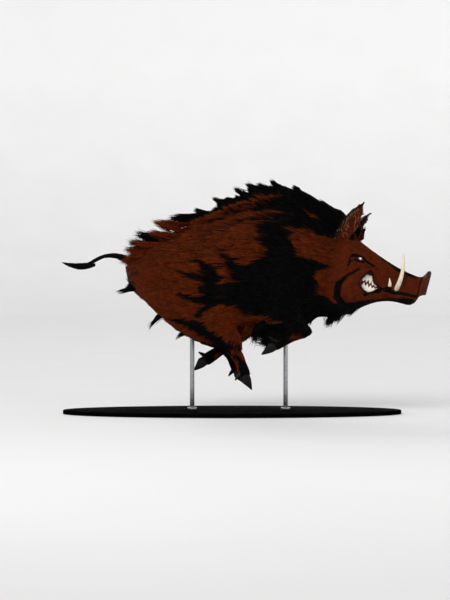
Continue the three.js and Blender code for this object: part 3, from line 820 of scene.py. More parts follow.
JOWL = ((0.150, 0.008), (0.104, -0.036), (0.072, -0.092), (0.086, -0.150), (0.130, -0.178))
SNARL = (
    (0.166, -0.050), (0.176, -0.030), (0.191, -0.004), (0.205, 0.010), (0.214, 0.002), (0.221, -0.020),
    (0.233, -0.042), (0.254, -0.052), (0.276, -0.059), (0.252, -0.067), (0.238, -0.082), (0.217, -0.093),
    (0.192, -0.086), (0.174, -0.068),
)
FOLDS: tuple[Fold, ...] = (
    # The mouth, from the snarl's front corner to under the nose disc, with a lip above and below.
    Fold(((0.270, -0.060), (0.312, -0.059)), 0.0030, -0.0065),
    Fold(((0.364, -0.057), (0.400, -0.054), (0.446, -0.050), (0.464, -0.048)), 0.0030, -0.0065),
    Fold(((0.285, -0.050), (0.340, -0.048), (0.400, -0.045), (0.446, -0.041)), 0.0060, 0.0026),
    Fold(((0.285, -0.070), (0.340, -0.068), (0.400, -0.064), (0.440, -0.060)), 0.0060, 0.0026),
    # The brow, low and drawn down to the front, and the frown lines ahead of and behind the eye.
    Fold(((0.104, 0.084), (0.134, 0.080), (0.172, 0.062)), 0.0105, 0.0105),
    Fold(((0.160, 0.047), (0.184, 0.038), (0.214, 0.036)), 0.0038, -0.0032),
    Fold(((0.108, 0.074), (0.096, 0.048), (0.094, 0.012)), 0.0050, -0.0040),
    Fold(((0.120, 0.033), (0.142, 0.028), (0.164, 0.035)), 0.0055, 0.0028),
    Fold(((0.116, 0.022), (0.142, 0.015), (0.172, 0.024)), 0.0038, -0.0026),
    # The jaw muscle's rear and lower edge.
    Fold(JOWL, 0.0120, -0.0090),
    Fold(((0.166, -0.014), (0.124, -0.050), (0.108, -0.098), (0.136, -0.140)), 0.0200, 0.0075),
    # Wrinkles of the drawn-up lip along the muzzle.
    Fold(((0.180, 0.006), (0.206, 0.024), (0.236, 0.004), (0.262, -0.024), (0.292, -0.040)), 0.0052, 0.0046),
    Fold(((0.178, 0.026), (0.212, 0.038), (0.252, 0.014), (0.318, -0.022)), 0.0044, -0.0036),
    Fold(((0.214, 0.046), (0.262, 0.036), (0.306, 0.010), (0.340, -0.008)), 0.0052, 0.0036),
    Fold(((0.246, 0.046), (0.300, 0.034), (0.352, 0.012)), 0.0044, -0.0026),
    # The lip swells round the tusks' roots.
    Fold(((0.290, -0.052), (0.310, -0.046), (0.326, -0.050)), 0.0110, 0.0150),
    Fold(((0.320, -0.070), (0.337, -0.075), (0.355, -0.070)), 0.0150, 0.0250),
    # Folds behind the nose disc.
    Fold(((0.446, 0.056), (0.442, 0.020), (0.444, -0.020)), 0.0030, -0.0034),
    Fold(((0.434, 0.052), (0.429, 0.018), (0.432, -0.024)), 0.0032, -0.0026),
    Fold(((0.420, 0.050), (0.415, 0.016), (0.418, -0.026)), 0.0034, -0.0014),
)


@dataclass(frozen=True)
class Patch:
    """A dark place of the coat, a marking or painted shade, the same on both sides: a tapered stroke in the
    side view.

    Attributes:
        line: Its corners, ahead and up.
        start: Its half width at the first corner.
        end: Its half width at the last.
        strength: How dark it is.
    """

    line: Line
    start: float
    end: float
    strength: float = 1.0

    def spare(self, points: Array) -> tuple[Array, Array]:
        """How far places are from its line, and its half width beside them.

        Args:
            points: The places.

        Returns:
            The distances and the half widths.
        """
        away, along = distance_to_line(points[:, [0, 2]], self.line)
        return away, self.start + (self.end - self.start) * along


@dataclass(frozen=True)
class Stroke:
    """A dark line of the face, a marking or painted shade, the same on both sides.

    Attributes:
        line: Its corners in the head's side view, ahead and up.
        reach: How far from the line it ends.
        core: How far from the line it is at its darkest.
        strength: How dark that is.
    """

    line: Line
    reach: float
    core: float
    strength: float


PATCHES: tuple[Patch, ...] = (
    # Crest and nape.
    Patch(((-0.33, 0.894), (-0.10, 1.000), (0.09, 1.056)), 0.010, 0.040),
    Patch(((0.09, 1.056), (0.33, 1.020), (0.56, 0.924)), 0.045, 0.070),
    Patch(((0.30, 0.990), (0.46, 0.936), (0.56, 0.900)), 0.085, 0.050),
    # From the withers down to the shoulder and ribs: partly a marking, partly painted shade over the
    # shoulder.
    Patch(((0.190, 0.990), (0.225, 0.870), (0.262, 0.740)), 0.055, 0.090),
    Patch(((0.205, 0.650), (0.290, 0.640), (0.350, 0.640)), 0.125, 0.080),
    Patch(((0.34, 0.722), (0.485, 0.722)), 0.055, 0.004),
    # Chest and throat: partly a marking, partly painted shade under the body.
    Patch(((0.34, 0.500), (0.50, 0.485), (0.66, 0.520)), 0.100, 0.030),
    # Elbow, ribs and belly: partly a marking, partly painted shade under the body and behind the elbow.
    Patch(((0.20, 0.560), (0.36, 0.455)), 0.095, 0.060),
    Patch(((0.13, 0.415), (0.25, 0.415)), 0.020, 0.045),
    Patch(((-0.030, 0.795), (0.040, 0.700), (0.120, 0.640)), 0.008, 0.055),
    Patch(((0.000, 0.585), (0.140, 0.560)), 0.050, 0.080),
    # Painted shade in the fold of the flank, with a point forwards and two backwards.
    Patch(
        ((-0.215, 0.775), (-0.130, 0.745), (-0.072, 0.660), (-0.086, 0.560), (-0.150, 0.490)), 0.010, 0.016,
    ),
    Patch(((-0.092, 0.690), (-0.076, 0.580)), 0.042, 0.046),
    Patch(((-0.250, 0.700), (-0.150, 0.665), (-0.090, 0.640)), 0.004, 0.026),
    Patch(((-0.245, 0.595), (-0.170, 0.560), (-0.100, 0.560)), 0.004, 0.024),
    # Painted shade along the thigh's underside, down to the hock.
    Patch(((-0.310, 0.468), (-0.210, 0.456), (-0.080, 0.388)), 0.004, 0.030),
    Patch(((-0.080, 0.388), (-0.020, 0.352), (0.045, 0.330)), 0.030, 0.005),
    # The haunch's rear edge.
    Patch(((-0.50, 0.634), (-0.44, 0.524), (-0.36, 0.424), (-0.24, 0.372)), 0.010, 0.016, 0.85),
    # The shank's rear edge.
    Patch(((-0.20, 0.360), (-0.12, 0.338), (-0.03, 0.312)), 0.010, 0.020),
)
# Brown streaks in the black of the withers and the nape.
STREAKS: tuple[Patch, ...] = (
    Patch(((-0.26, 0.900), (0.00, 0.990), (0.15, 1.030), (0.290, 1.046)), 0.016, 0.005, 0.95),
    Patch(((-0.16, 0.900), (0.04, 0.958), (0.20, 0.985), (0.300, 0.978)), 0.015, 0.005, 0.95),
    Patch(((0.365, 0.985), (0.425, 0.958)), 0.006, 0.013, 0.9),
)
# The right ear's black rear and front edge, and a painted highlight inside it, drawn as a streak of pale
# hair.
EAR_EDGES: tuple[Patch, ...] = (
    Patch(((0.504, 0.877), (0.526, 0.925), (0.556, 0.968), (0.592, 1.001), (0.644, 1.036)), 0.013, 0.007),
    Patch(((0.574, 0.859), (0.600, 0.890), (0.618, 0.929), (0.642, 0.977), (0.644, 1.036)), 0.007, 0.005),
)
EAR_HIGHLIGHT = Patch(((0.552, 0.940), (0.574, 0.966), (0.604, 0.988)), 0.006, 0.004, 0.75)
FACE: tuple[Stroke, ...] = (
    # Brow, eye and the frown lines round it: painted shade, the brow's shadow over the eye and shade in the
    # frown creases.
    Stroke(((0.104, 0.062), (0.126, 0.067), (0.160, 0.058)), 0.013, 0.004, 0.95),
    Stroke(((0.160, 0.056), (0.212, 0.038)), 0.009, 0.002, 0.9),
    Stroke(((0.120, 0.045), (0.160, 0.043)), 0.008, 0.003, 0.9),
    Stroke(((0.098, 0.066), (0.092, 0.040), (0.096, 0.008)), 0.007, 0.002, 0.8),
    Stroke(((0.096, 0.008), (0.103, 0.034), (0.120, 0.047)), 0.006, 0.002, 0.8),
    # Mouth, throat and the snarl's corner: dark lips, with painted shade in the mouth's crease and under the
    # jaw.
    Stroke(((0.250, -0.062), (0.450, -0.052)), 0.012, 0.005, 0.85),
    Stroke(((0.110, -0.200), (0.230, -0.150), (0.350, -0.108), (0.430, -0.088)), 0.030, 0.014, 0.95),
    Stroke(((0.205, -0.110), (0.232, -0.086), (0.270, -0.074)), 0.012, 0.004, 0.8),
    # Painted shade in the crease behind the nose disc.
    Stroke(((0.451, 0.060), (0.449, 0.010), (0.452, -0.045)), 0.007, 0.002, 0.7),
    # Painted shade round the tusks' roots, where they leave the lips.
    Stroke(((0.322, -0.062), (0.352, -0.058)), 0.014, 0.005, 0.9),
    Stroke(((0.296, -0.047), (0.320, -0.045)), 0.010, 0.004, 0.85),
    # The nose disc's upper edge and the lips round the teeth.
    Stroke(((0.452, 0.074), (0.484, 0.086), (0.494, 0.074)), 0.016, 0.000, 0.72),
    Stroke((*SNARL, SNARL[0]), 0.0095, 0.0050, 0.95),
    # Painted shade in the crease at the jaw muscle's rear edge.
    Stroke(JOWL, 0.009, 0.002, 0.85),
    Stroke(((0.096, -0.050), (0.072, -0.092)), 0.013, 0.005, 0.9),
    Stroke(((0.078, -0.078), (0.068, -0.110)), 0.017, 0.009, 0.95),
    Stroke(((0.072, -0.092), (0.080, -0.150), (0.130, -0.190)), 0.022, 0.012, 0.95),
)
PART_DARKNESS: dict[Part, float] = {Part.MANE: 1.0, Part.TAIL: 0.95, Part.SNOUT: 0.3}
BACK_SLOPE = math.radians(22)  # how steeply the back falls to the tail
EAR_OPENINGS = {"left": (0.80, 0.50, -0.40), "right": (0.62, -0.78, 0.0)}  # in the head's axes


class MarkingsAndShade:
    """Where the coat is dark, by one rule for the skin and for the bristles on it: real markings, and painted
    shade in folds and creases, under the body and round the face.
    """

    RAGGED = np.array([0.11, 0.06, 0.034])  # the grain of the patches' ragged edges
    BACK_STREAKS = (0.42, 0.08, 0.024)  # a streak's length along the back, its breadth and its height
    SHANK_STREAKS = np.array([0.05, 0.016, 0.05])
    FRAYED = np.array([0.05, 0.010, 0.05])  # the grain of the bridge's frayed edge

    def __init__(self, head: HeadFrame) -> None:
        """Keeps the head's axes.

        Args:
            head: The head's axes.
        """
        self.head = head

    def darkness(self, points: Array, normals: Array, weights: Array) -> Array:
        """How dark the coat is.

        Args:
            points: Places on the skin.
            normals: The skin's normals there.
            weights: How much of each part is at each place.

        Returns:
            Values from 0, brown, to 1, black.
        """
        ragged = wave_noise(points / self.RAGGED, 3)
        dark = np.zeros(len(points))
        for patch in PATCHES:
            away, reach = patch.spare(points)
            rough = np.clip(0.5 * reach, 0.006, 0.018) * ragged
            dark = np.maximum(dark, patch.strength * smoothstep(-0.009, 0.009, reach + rough - away))
        dark = self.streaked_back(dark, points, weights)
        legs = wave_noise(points / self.SHANK_STREAKS, 23)
        shank = smoothstep(0.35, 0.75, weights[:, Part.LOWER_LEG]) * smoothstep(-0.22, 0.02, legs)
        dark = np.maximum(dark, shank)
        for part, least in PART_DARKNESS.items():
            dark = np.maximum(dark, least * smoothstep(0.35, 0.75, weights[:, part]))
        for streak in STREAKS:
            away, reach = streak.spare(points)
            dark *= 1 - streak.strength * smoothstep(-0.006, 0.006, reach + 0.006 * ragged - away)
        dark = np.maximum(dark, self.face(points))
        ear = smoothstep(0.3, 0.7, weights[:, Part.EAR])
        edges = np.maximum(*[self.on_right_ear(points, patch) for patch in EAR_EDGES])
        return dark * (1 - ear) + ear * np.maximum(1 - self.in_ear(points, normals), edges)

    def streaked_back(self, dark: Array, points: Array, weights: Array) -> Array:
        """Streaks the back behind the withers, brown and black by turns, along its slope.

        Args:
            dark: How dark the coat is so far.
            points: Places on the skin.
            weights: How much of each part is at each place.

        Returns:
            How dark it is with the streaks.
        """
        cosine, sine = math.cos(BACK_SLOPE), math.sin(BACK_SLOPE)
        along = points[:, 0] * cosine + points[:, 2] * sine
        over = points[:, 2] * cosine - points[:, 0] * sine
        length, breadth, height = self.BACK_STREAKS
        streaks = wave_noise(np.column_stack([along / length, points[:, 1] / breadth, over / height]), 11)
        back = smoothstep(0.735, 0.80, over) * smoothstep(0.31, 0.20, points[:, 0])
        body = 1 - weights[:, [Part.EAR, Part.HEAD]].sum(axis=1)
        dark = dark * (1 - 0.95 * back * smoothstep(0.10, 0.26, -streaks))
        return np.maximum(dark, 0.95 * back * body * smoothstep(0.08, 0.22, streaks))

    def on_right_ear(self, points: Array, patch: Patch) -> Array:
        """How strongly a stroke of the right ear covers places.

        Args:
            points: Places on the skin.
            patch: The stroke.

        Returns:
            Values from 0 to the stroke's strength.
        """
        away, reach = patch.spare(points)
        return patch.strength * smoothstep(-0.003, 0.003, reach - away) * (points[:, 1] < 0)

    def in_ear(self, points: Array, normals: Array) -> Array:
        """How far places face the way an ear opens.

        Args:
            points: Places on the skin.
            normals: The skin's normals there.

        Returns:
            Values from 0, on an ear's back and edges, to 1, inside it.
        """
        left = self.head.inside(points)[:, 1] > 0
        ways = unit(np.array([EAR_OPENINGS[label] for label in ("right", "left")])) @ self.head.axes
        return smoothstep(0.45, 0.75, np.sum(normals * ways[left.astype(int)], axis=1))

    def face(self, points: Array) -> Array:
        """The face's dark places: round the eyes, along the bridge, on the lips and along the jaw, partly
        painted shade of the brow, in the creases and under the jaw.

        Args:
            points: Places on the skin.

        Returns:
            Values from 0 to 1.
        """
        h = self.head.inside(points)
        frayed = 0.005 * wave_noise(h / self.FRAYED, 5)
        bridge = smoothstep(0.036, 0.026, np.abs(h[:, 1]) + frayed) * smoothstep(0.0, 0.03, h[:, 2])
        dark = 0.9 * bridge * smoothstep(0.13, 0.30, h[:, 0] + 6 * frayed) * smoothstep(0.46, 0.40, h[:, 0])
        for stroke in FACE:
            away, _ = distance_to_line(h[:, [0, 2]], stroke.line)
            dark = np.maximum(dark, stroke.strength * smoothstep(stroke.reach, stroke.core, away))
        return dark * smoothstep(0.0, 0.03, h[:, 0])


@dataclass
class Surface:
    """The skin as arrays, for growing the coat on it."""

    co: Array
    normal: Array
    tris: Array
    tri_uv: Array
    weights: Array
    flow: Array
    bare: Array


@dataclass
class Skin:
    """The one skin over trunk, head and legs.

    Attributes:
        swell: How far the solids are fattened before they are made one.
        voxel: The grain of that joining.
        plugs: The lengths of the muzzle, ahead along the head, that are filled until the face is shaped.
        settling: How widely one part's shape turns to the next one's, in rounds of averaging.
        blending: The same for its hair.
        snarl: The outline of the bared teeth in the head's side view.
        snarl_floor: How far from the head's middle plane its floor lies.
        nostril_at: A nostril's middle, sideways and up.
        nostril_half: Half its width and half its height.
        eye_slit: Half the length of the eye's opening, and its rise over and under the middle.
        eye_out: Which way the left eye's opening faces.
        eye_ahead: Which way it runs.
    """

    head: HeadFrame
    markings_and_shade: MarkingsAndShade
    swell: float = 0.005
    voxel: float = 0.0092
    plugs: tuple[Pair, ...] = ((0.180, 0.236), (0.228, 0.296))
    settling: int = 8
    blending: int = 45
    snarl: Line = SNARL
    snarl_floor: float = 0.052
    nostril_at: Pair = (0.0200, 0.014)
    nostril_half: Pair = (0.0088, 0.0125)
    eye_slit: Triple = (0.0134, 0.0062, 0.0076)
    eye_out: Triple = (0.36, 0.90, 0.24)
    eye_ahead: Triple = (0.90, -0.36, -0.26)
    surface: Surface = field(init=False)
    ob: Object = field(init=False)

    def build(self, material: Material) -> None:
        """Makes the skin and dresses it.

        Args:
            material: Its finish.
        """
        self.ob = self.one_form()
        self.refine(self.head_faces)
        weights = self.part_weights()
        self.draw_in(weights)
        self.refine(self.detail_faces)
        self.refine(self.fine_faces)
        weights = self.part_weights()
        self.shape_face(weights)
        self.unwrap()
        self.read_surface(weights)
        self.ob.data.shade_smooth()
        finish_piece(self.ob, material, "coat_brown", *[node for nodes in FLESH.values() for node in nodes])

    def one_form(self) -> Object:
        """Fattens the solids until they meet and makes them one closed form.

        Returns:
            The form, still fatter than the frame by the swell.
        """
        parts = [copy_of_node(node, "part") for nodes in FLESH.values() for node in nodes]
        parts += [copy_of_node(f"eye_{side}", "part") for side in SIDES]
        parts += [self.muzzle_plug(low, high) for low, high in self.plugs]
        for part in parts:
            apply_modifier(part, "DISPLACE", strength=self.swell, mid_level=0.0)
        whole = joined(parts, "skin")
        apply_modifier(whole, "REMESH", mode="VOXEL", voxel_size=self.voxel)
        return whole

    def muzzle_plug(self, low: float, high: float) -> Object:
        """A solid slice of the muzzle, which fills the mouth until the face is shaped.

        Args:
            low: Where it starts along the head.
            high: Where it ends.

        Returns:
            The slice.
        """
        points = np.concatenate([node_points("head"), node_points("lower_jaw")])
        h = self.head.inside(points)
        mine = points[(h[:, 0] > low) & (h[:, 0] < high)]
        mesh = bpy.data.meshes.new("plug")
        bm = bmesh.new()
        for point in mine:
            bm.verts.new(point)
        hull = bmesh.ops.convex_hull(bm, input=bm.verts)
        left_over = hull["geom_interior"] + hull["geom_unused"]
        spare = {item for item in left_over if isinstance(item, bmesh.types.BMVert)}
        bmesh.ops.delete(bm, geom=list(spare), context="VERTS")
        bm.to_mesh(mesh)
        bm.free()
        return new_object("plug", mesh)

    def head_faces(self, middles: Array) -> Array:
        """Which faces belong to the head and ears, and are cut finer.

        Args:
            middles: The faces' middles.

        Returns:
            True for each face that does.
        """
        h = self.head.inside(middles)
        face = (h[:, 0] > 0.075) & (np.abs(h[:, 1]) < 0.2) & (h[:, 2] > -0.30)
        return face | ((h[:, 0] > -0.02) & (h[:, 2] > 0.135) & (np.abs(h[:, 1]) > 0.050))

    def detail_faces(self, middles: Array) -> Array:
        """Which faces of the head carry folds, lips and lids.

        Args:
            middles: The faces' middles.

        Returns:
            True for each face that does.
        """
        h = self.head.inside(middles)
        mouth, _ = distance_to_line(h[:, [0, 2]], ((0.27, -0.058), (0.46, -0.050)))
        lips = ((mouth < 0.024) | (self.out_of_snarl(h[:, [0, 2]]) < 0.020)) & (np.abs(h[:, 1]) > 0.03)
        return (self.from_eye(h) < 0.040) | lips | (h[:, 0] > 0.43)

    def fine_faces(self, middles: Array) -> Array:
        """Which faces lie at a lid, a nostril or the snarl's edge.

        Args:
            middles: The faces' middles.

        Returns:
            True for each face that does.
        """
        h = self.head.inside(middles)
        snarl = np.abs(self.out_of_snarl(h[:, [0, 2]])) < 0.007
        disc = (h[:, 0] > 0.476) & (np.abs(h[:, 2] - self.nostril_at[1]) < 0.02)
        return (self.from_eye(h) < 0.022) | (snarl & (np.abs(h[:, 1]) > 0.035)) | disc

    def from_eye(self, h: Array) -> Array:
        """How far places in the head's axes lie from the nearer eye's middle."""
        return np.linalg.norm(np.column_stack([h[:, 0], np.abs(h[:, 1]), h[:, 2]]) - self.head.EYE, axis=1)

    def out_of_snarl(self, side: Array) -> Array:
        """How far places lie outside the snarl's outline.

        Args:
            side: The places in the head's side view.

        Returns:
            The distances, less than 0 inside it.
        """
        away, _ = distance_to_line(side, (*self.snarl, self.snarl[0]))
        inside = np.zeros(len(side), bool)
        for (x0, z0), (x1, z1) in zip(self.snarl, (*self.snarl[1:], self.snarl[0])):
            spans = (side[:, 1] > z0) != (side[:, 1] > z1)
            inside ^= spans & (side[:, 0] < x0 + (side[:, 1] - z0) * (x1 - x0) / ((z1 - z0) or 1e-9))
        return np.where(inside, -away, away)

    def refine(self, chosen: Callable[[Array], Array]) -> None:
        """Cuts some faces in four and smooths what is new.

        Args:
            chosen: Tells from the faces' middles which are cut.
        """
        bm = bmesh.new()
        bm.from_mesh(self.ob.data)
        bm.faces.ensure_lookup_table()
        middles = np.array([face.calc_center_median() for face in bm.faces])
        faces = [bm.faces[i] for i in np.flatnonzero(chosen(middles))]
        edges = list({edge for face in faces for edge in face.edges})
        bmesh.ops.subdivide_edges(bm, edges=edges, cuts=1, use_grid_fill=True)
        bmesh.ops.triangulate(bm, faces=[face for face in bm.faces if len(face.verts) > 4])
        bm.to_mesh(self.ob.data)
        bm.free()
        co = coordinates(self.ob)
        share = 0.5 * chosen(co).astype(float)[:, None]
        for _ in range(2):
            co += share * (self.averaged(co) - co)
        set_coordinates(self.ob, co)

    def averaged(self, values: Array) -> Array:
        """Each vertex's mean of its neighbours' values, along the edges.

        Args:
            values: A row for each vertex.

        Returns:
            The means, in rows of the same kind.
        """
        edges = read(self.ob.data.edges, "vertices", 2, np.int64)
        first, second = edges.T
        count = np.bincount(edges.ravel(), minlength=len(values)).astype(float)
        total = np.empty_like(values)
        for column in range(values.shape[1]):
            total[:, column] = np.bincount(first, values[second, column], len(values))
            total[:, column] += np.bincount(second, values[first, column], len(values))
        return total / np.maximum(count, 1)[:, None]

    def part_weights(self) -> Array:
        """How much of each part is at each vertex, softened where parts meet.

        Returns:
            One row for each vertex and one column for each part, with rows that add up to 1.
        """
        corners, faces, owner = [], [], []
        for part, nodes in FLESH.items():
            for node in nodes:
                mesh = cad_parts[node].data
                base = len(corners)
                corners += [vertex.co[:] for vertex in mesh.vertices]
                faces += [[base + i for i in polygon.vertices] for polygon in mesh.polygons]
                owner += [int(part)] * len(mesh.polygons)
        tree = BVHTree.FromPolygons(corners, faces)
        co = coordinates(self.ob)
        weights = np.zeros((len(co), len(Part)))
        nearest = [owner[tree.find_nearest(point)[2]] for point in co]
        weights[np.arange(len(co)), nearest] = 1.0
        for _ in range(self.settling):
            weights = 0.4 * weights + 0.6 * self.averaged(weights)
        gradual = [part for part in Part if part not in (Part.MANE, Part.EAR, Part.SNOUT, Part.TAIL)]
        share = weights[:, gradual].sum(axis=1, keepdims=True)
        spread = weights[:, gradual]
        for _ in range(self.blending):
            spread = self.averaged(spread)
        weights[:, gradual] = share * spread / np.maximum(spread.sum(axis=1, keepdims=True), 1e-9)
        return weights

    def draw_in(self, weights: Array) -> None:
        """Draws the fattened form in to the coat's depth under the frame's outline.

        Args:
            weights: The parts at each vertex.
        """
        depth = weights @ np.array([HAIR[part].depth for part in Part]) + self.swell
        firm = weights[:, [Part.EAR, Part.SNOUT, Part.TAIL]].sum(axis=1)
        soft = weights[:, [Part.TRUNK, Part.NECK, Part.UPPER_LEG, Part.MANE]].sum(axis=1)
        steps = 5
        for _ in range(steps):
            co = coordinates(self.ob) - (depth / steps)[:, None] * vertex_normals(self.ob)
            co += (0.15 + 0.35 * soft - 0.10 * firm)[:, None] * (self.averaged(co) - co)
            set_coordinates(self.ob, co)

    def shape_face(self, weights: Array) -> None:
        """Shapes folds, snarl, nose disc and lids, and stores where the skin is bare.

        Args:
            weights: The parts at each vertex.
        """
        co = coordinates(self.ob)
        h = self.head.inside(co)
        normals = vertex_normals(self.ob)
        front = smoothstep(0.0, 0.03, h[:, 0]) * smoothstep(0.02, 0.032, np.abs(h[:, 1]))
        moved = np.zeros(len(co))
        for fold in FOLDS:
            away, _ = distance_to_line(h[:, [0, 2]], fold.line)
            moved += fold.height * np.exp(-((away / fold.width) ** 2))
        co += (moved * front)[:, None] * normals
        h = self.head.inside(co)
        bare = smoothstep(0.4, 0.8, weights[:, Part.SNOUT])
        lips = np.minimum(*[distance_to_line(h[:, [0, 2]], fold.line)[0] for fold in FOLDS[:2]])
        bare = np.maximum(bare, smoothstep(0.007, 0.003, lips) * front)
        gum = self.shape_snarl(h)
        rim = smoothstep(0.0055, 0.0025, self.out_of_snarl(h[:, [0, 2]])) * front
        bare = np.maximum(np.maximum(bare, rim), self.shape_lids(h))
        self.shape_nose(h)
        set_coordinates(self.ob, self.head.outside(h))
        dark = self.markings_and_shade.darkness(coordinates(self.ob), vertex_normals(self.ob), weights)
        for name, values in (("bare", bare), ("gum", gum), ("dark", dark)):
            set_attribute(self.ob.data, name, values)

    def shape_snarl(self, h: Array) -> Array:
        """Sinks the snarl's floor and curls the lips round it.

        Args:
            h: The vertices in the head's axes, moved in place.

        Returns:
            How much gum shows at each vertex.
        """
        out = self.out_of_snarl(h[:, [0, 2]])
        cheek = (np.abs(h[:, 1]) > 0.030) & (h[:, 0] > 0.1)
        inside = cheek & (out < 0.0)
        y = np.abs(h[:, 1])
        rim = np.exp(-(((out - 0.0045) / 0.004) ** 2)) * cheek * (out > 0.0)
        sunk = y + smoothstep(0.0, -0.0045, out) * (np.minimum(self.snarl_floor, y) - y)
        h[:, 1] = np.sign(h[:, 1]) * np.where(inside, sunk, y + 0.0040 * rim)
        return np.where(inside, smoothstep(0.0, -0.003, out), 0.0)

    def shape_nose(self, h: Array) -> None:
        """Sinks the nostrils and dishes the nose disc.

        Args:
            h: The vertices in the head's axes, moved in place.
        """
        front = h[:, 0].max()
        disc = smoothstep(front - 0.016, front - 0.008, h[:, 0])
        across = (np.abs(h[:, 1]) - self.nostril_at[0]) / self.nostril_half[0]
        rise = (h[:, 2] - self.nostril_at[1]) / self.nostril_half[1]
        hole = smoothstep(1.10, 0.75, np.hypot(across + 0.25 * rise, rise))
        h[:, 0] -= 0.020 * hole * disc
        away = np.hypot(h[:, 1] / 0.046, (h[:, 2] - 0.006) / 0.044)
        h[:, 0] -= 0.003 * smoothstep(0.85, 0.3, away) * disc * (1 - hole)

    def shape_lids(self, h: Array) -> Array:
        """Opens the eyes, low and drawn down to the front, and lays lids on them.

        Args:
            h: The vertices in the head's axes, moved in place.

        Returns:
            How bare each vertex is, as the lids' rims are.
        """
        length, over, under = self.eye_slit
        radius = eye_radius()
        side = np.where(h[:, 1] >= 0, 1.0, -1.0)
        sided = np.column_stack([np.ones(len(h)), side, np.ones(len(h))])
        local = h - sided * self.head.EYE
        out_axis = unit(sided * self.eye_out)
        ahead_axis = unit(sided * self.eye_ahead)
        ahead_axis = unit(ahead_axis - np.sum(ahead_axis * out_axis, axis=1, keepdims=True) * out_axis)
        up_axis = np.cross(ahead_axis, out_axis) * -side[:, None]
        up_axis *= np.where(up_axis[:, 2] >= 0, 1.0, -1.0)[:, None]
        u = np.sum(local * ahead_axis, axis=1)
        v = np.sum(local * up_axis, axis=1)
        w = np.sum(local * out_axis, axis=1)
        near = (np.hypot(u, v) < 0.030) & (w > -0.004)
        bow = np.maximum(1 - (u / length) ** 2, 0.0)
        edge = np.where(v >= 0, over, -under) * bow
        gap = np.where(np.abs(u) < length, v / np.where(np.abs(edge) < 1e-5, 1e-5, edge), 9.0)
        on_edge = near & (gap > 0.55) & (gap < 1.0)
        h += np.where(on_edge, edge * 1.001 - v, 0.0)[:, None] * up_axis
        v = np.where(on_edge, edge * 1.001, v)
        gap = np.where(on_edge, 1.001, gap)
        flat = np.hypot(u, v)
        lid = np.sqrt(np.maximum((radius + 0.0019) ** 2 - np.minimum(flat, radius) ** 2, 0.0))
        hidden = np.sqrt(np.maximum((radius - 0.0035) ** 2 - np.minimum(flat, radius - 0.0035) ** 2, 0.0))
        hold = smoothstep(0.026, 0.0115, flat)
        closed = w + hold * (np.maximum(lid, w * (1 - hold)) - w)
        rim = np.exp(-(((gap - 1.25) / 0.35) ** 2)) * (gap > 1.0) * (gap < 9.0)
        target = np.where(gap < 1.0, hidden, closed + 0.0009 * rim)
        h += np.where(near, target - w, 0.0)[:, None] * out_axis
        return np.where(near, np.maximum(rim, (gap < 1.0).astype(float)), 0.0)

    def unwrap(self) -> None:
        """Lays the skin out flat without overlaps, in the bake map."""
        self.ob.data.uv_layers.new(name=BAKE_MAP)
        unwrapped = partial(bpy.ops.uv.smart_project, angle_limit=math.radians(70), island_margin=0.001)
        edit_whole(self.ob, bpy.ops.mesh.quads_convert_to_tris, unwrapped)

    def read_surface(self, weights: Array) -> None:
        """Reads the finished skin into arrays.

        Args:
            weights: The parts at each vertex.
        """
        mesh = self.ob.data
        tris = read(mesh.loops, "vertex_index", 1, np.int64).reshape(-1, 3)
        uv = read(mesh.uv_layers[BAKE_MAP].data, "uv", 2, np.float32).reshape(-1, 3, 2)
        names = ("bare", "gum")
        bare, gum = (read(mesh.attributes[name].data, "value", 1, np.float32)[:, 0] for name in names)
        co, normal = coordinates(self.ob), vertex_normals(self.ob)
        flow = self.lie_of_coat(co, normal, tris, weights)
        self.surface = Surface(co, normal, tris, uv, weights, flow, np.maximum(bare, gum))

    def lie_of_coat(
        self, co: Array, normal: Array, tris: Array, weights: Array,
    ) -> Array:
        """Which way the hair lies: away from the nose, so back over the body and down the legs.

        Args:
            co: The vertices.
            normal: Their normals.
            tris: The triangles.
            weights: The parts at each vertex.

        Returns:
            One direction in the skin for each vertex.
        """
        reach = self.way_from_nose(co)
        for _ in range(12):
            reach = 0.3 * reach + 0.7 * self.averaged(reach[:, None])[:, 0]
        a, b, c = (co[tris[:, i]] for i in range(3))
        across = np.cross(b - a, c - a)
        double = np.maximum(np.linalg.norm(across, axis=1, keepdims=True), 1e-12)
        n = across / double
        rise = sum(
            reach[tris[:, i]][:, None] * np.cross(n, opposite) / double
            for i, opposite in enumerate((c - b, a - c, b - a))
        )
        flow = np.zeros_like(co)
        for i in range(3):
            for axis in range(3):
                flow[:, axis] += np.bincount(tris[:, i], unit(rise)[:, axis], len(co))
        flow = unit(flow)
        body = weights[:, [Part.TRUNK, Part.NECK]].sum(axis=1)
        flow += body[:, None] * np.array([-0.5, 0.0, -0.16])
        standing = weights[:, [Part.MANE]]
        flow = flow * (1 - standing) + standing * np.array([-0.80, 0.0, 0.60])
        for _ in range(12):
            flow = 0.3 * flow + 0.7 * self.averaged(flow)
        flow -= np.sum(flow * normal, axis=1, keepdims=True) * normal * (1 - standing)
        return unit(flow)

    def way_from_nose(self, co: Array) -> Array:
        """How far each vertex lies from the nose along the skin.

        Args:
            co: The vertices.

        Returns:
            The distances.
        """
        edges = read(self.ob.data.edges, "vertices", 2, np.int64)
        lengths = np.linalg.norm(co[edges[:, 0]] - co[edges[:, 1]], axis=1)
        around: list[list[tuple[int, float]]] = [[] for _ in range(len(co))]
        for (i, j), length in zip(edges.tolist(), lengths.tolist()):
            around[i].append((j, length))
            around[j].append((i, length))
        start = int(np.argmax(self.head.inside(co)[:, 0]))
        reach = np.full(len(co), 9.0)
        reach[start] = 0.0
        queue = [(0.0, start)]
        while queue:
            gone, here = heapq.heappop(queue)
            if gone > reach[here]:
                continue
            for there, length in around[here]:
                if gone + length < reach[there]:
                    reach[there] = gone + length
                    heapq.heappush(queue, (gone + length, there))
        return reach


def eye_radius() -> float:
    """The eyeball's radius, from the frame."""
    low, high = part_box("eye_left")
    return (high.z - low.z) / 2


# ---------------------------------------------------------------- the coat


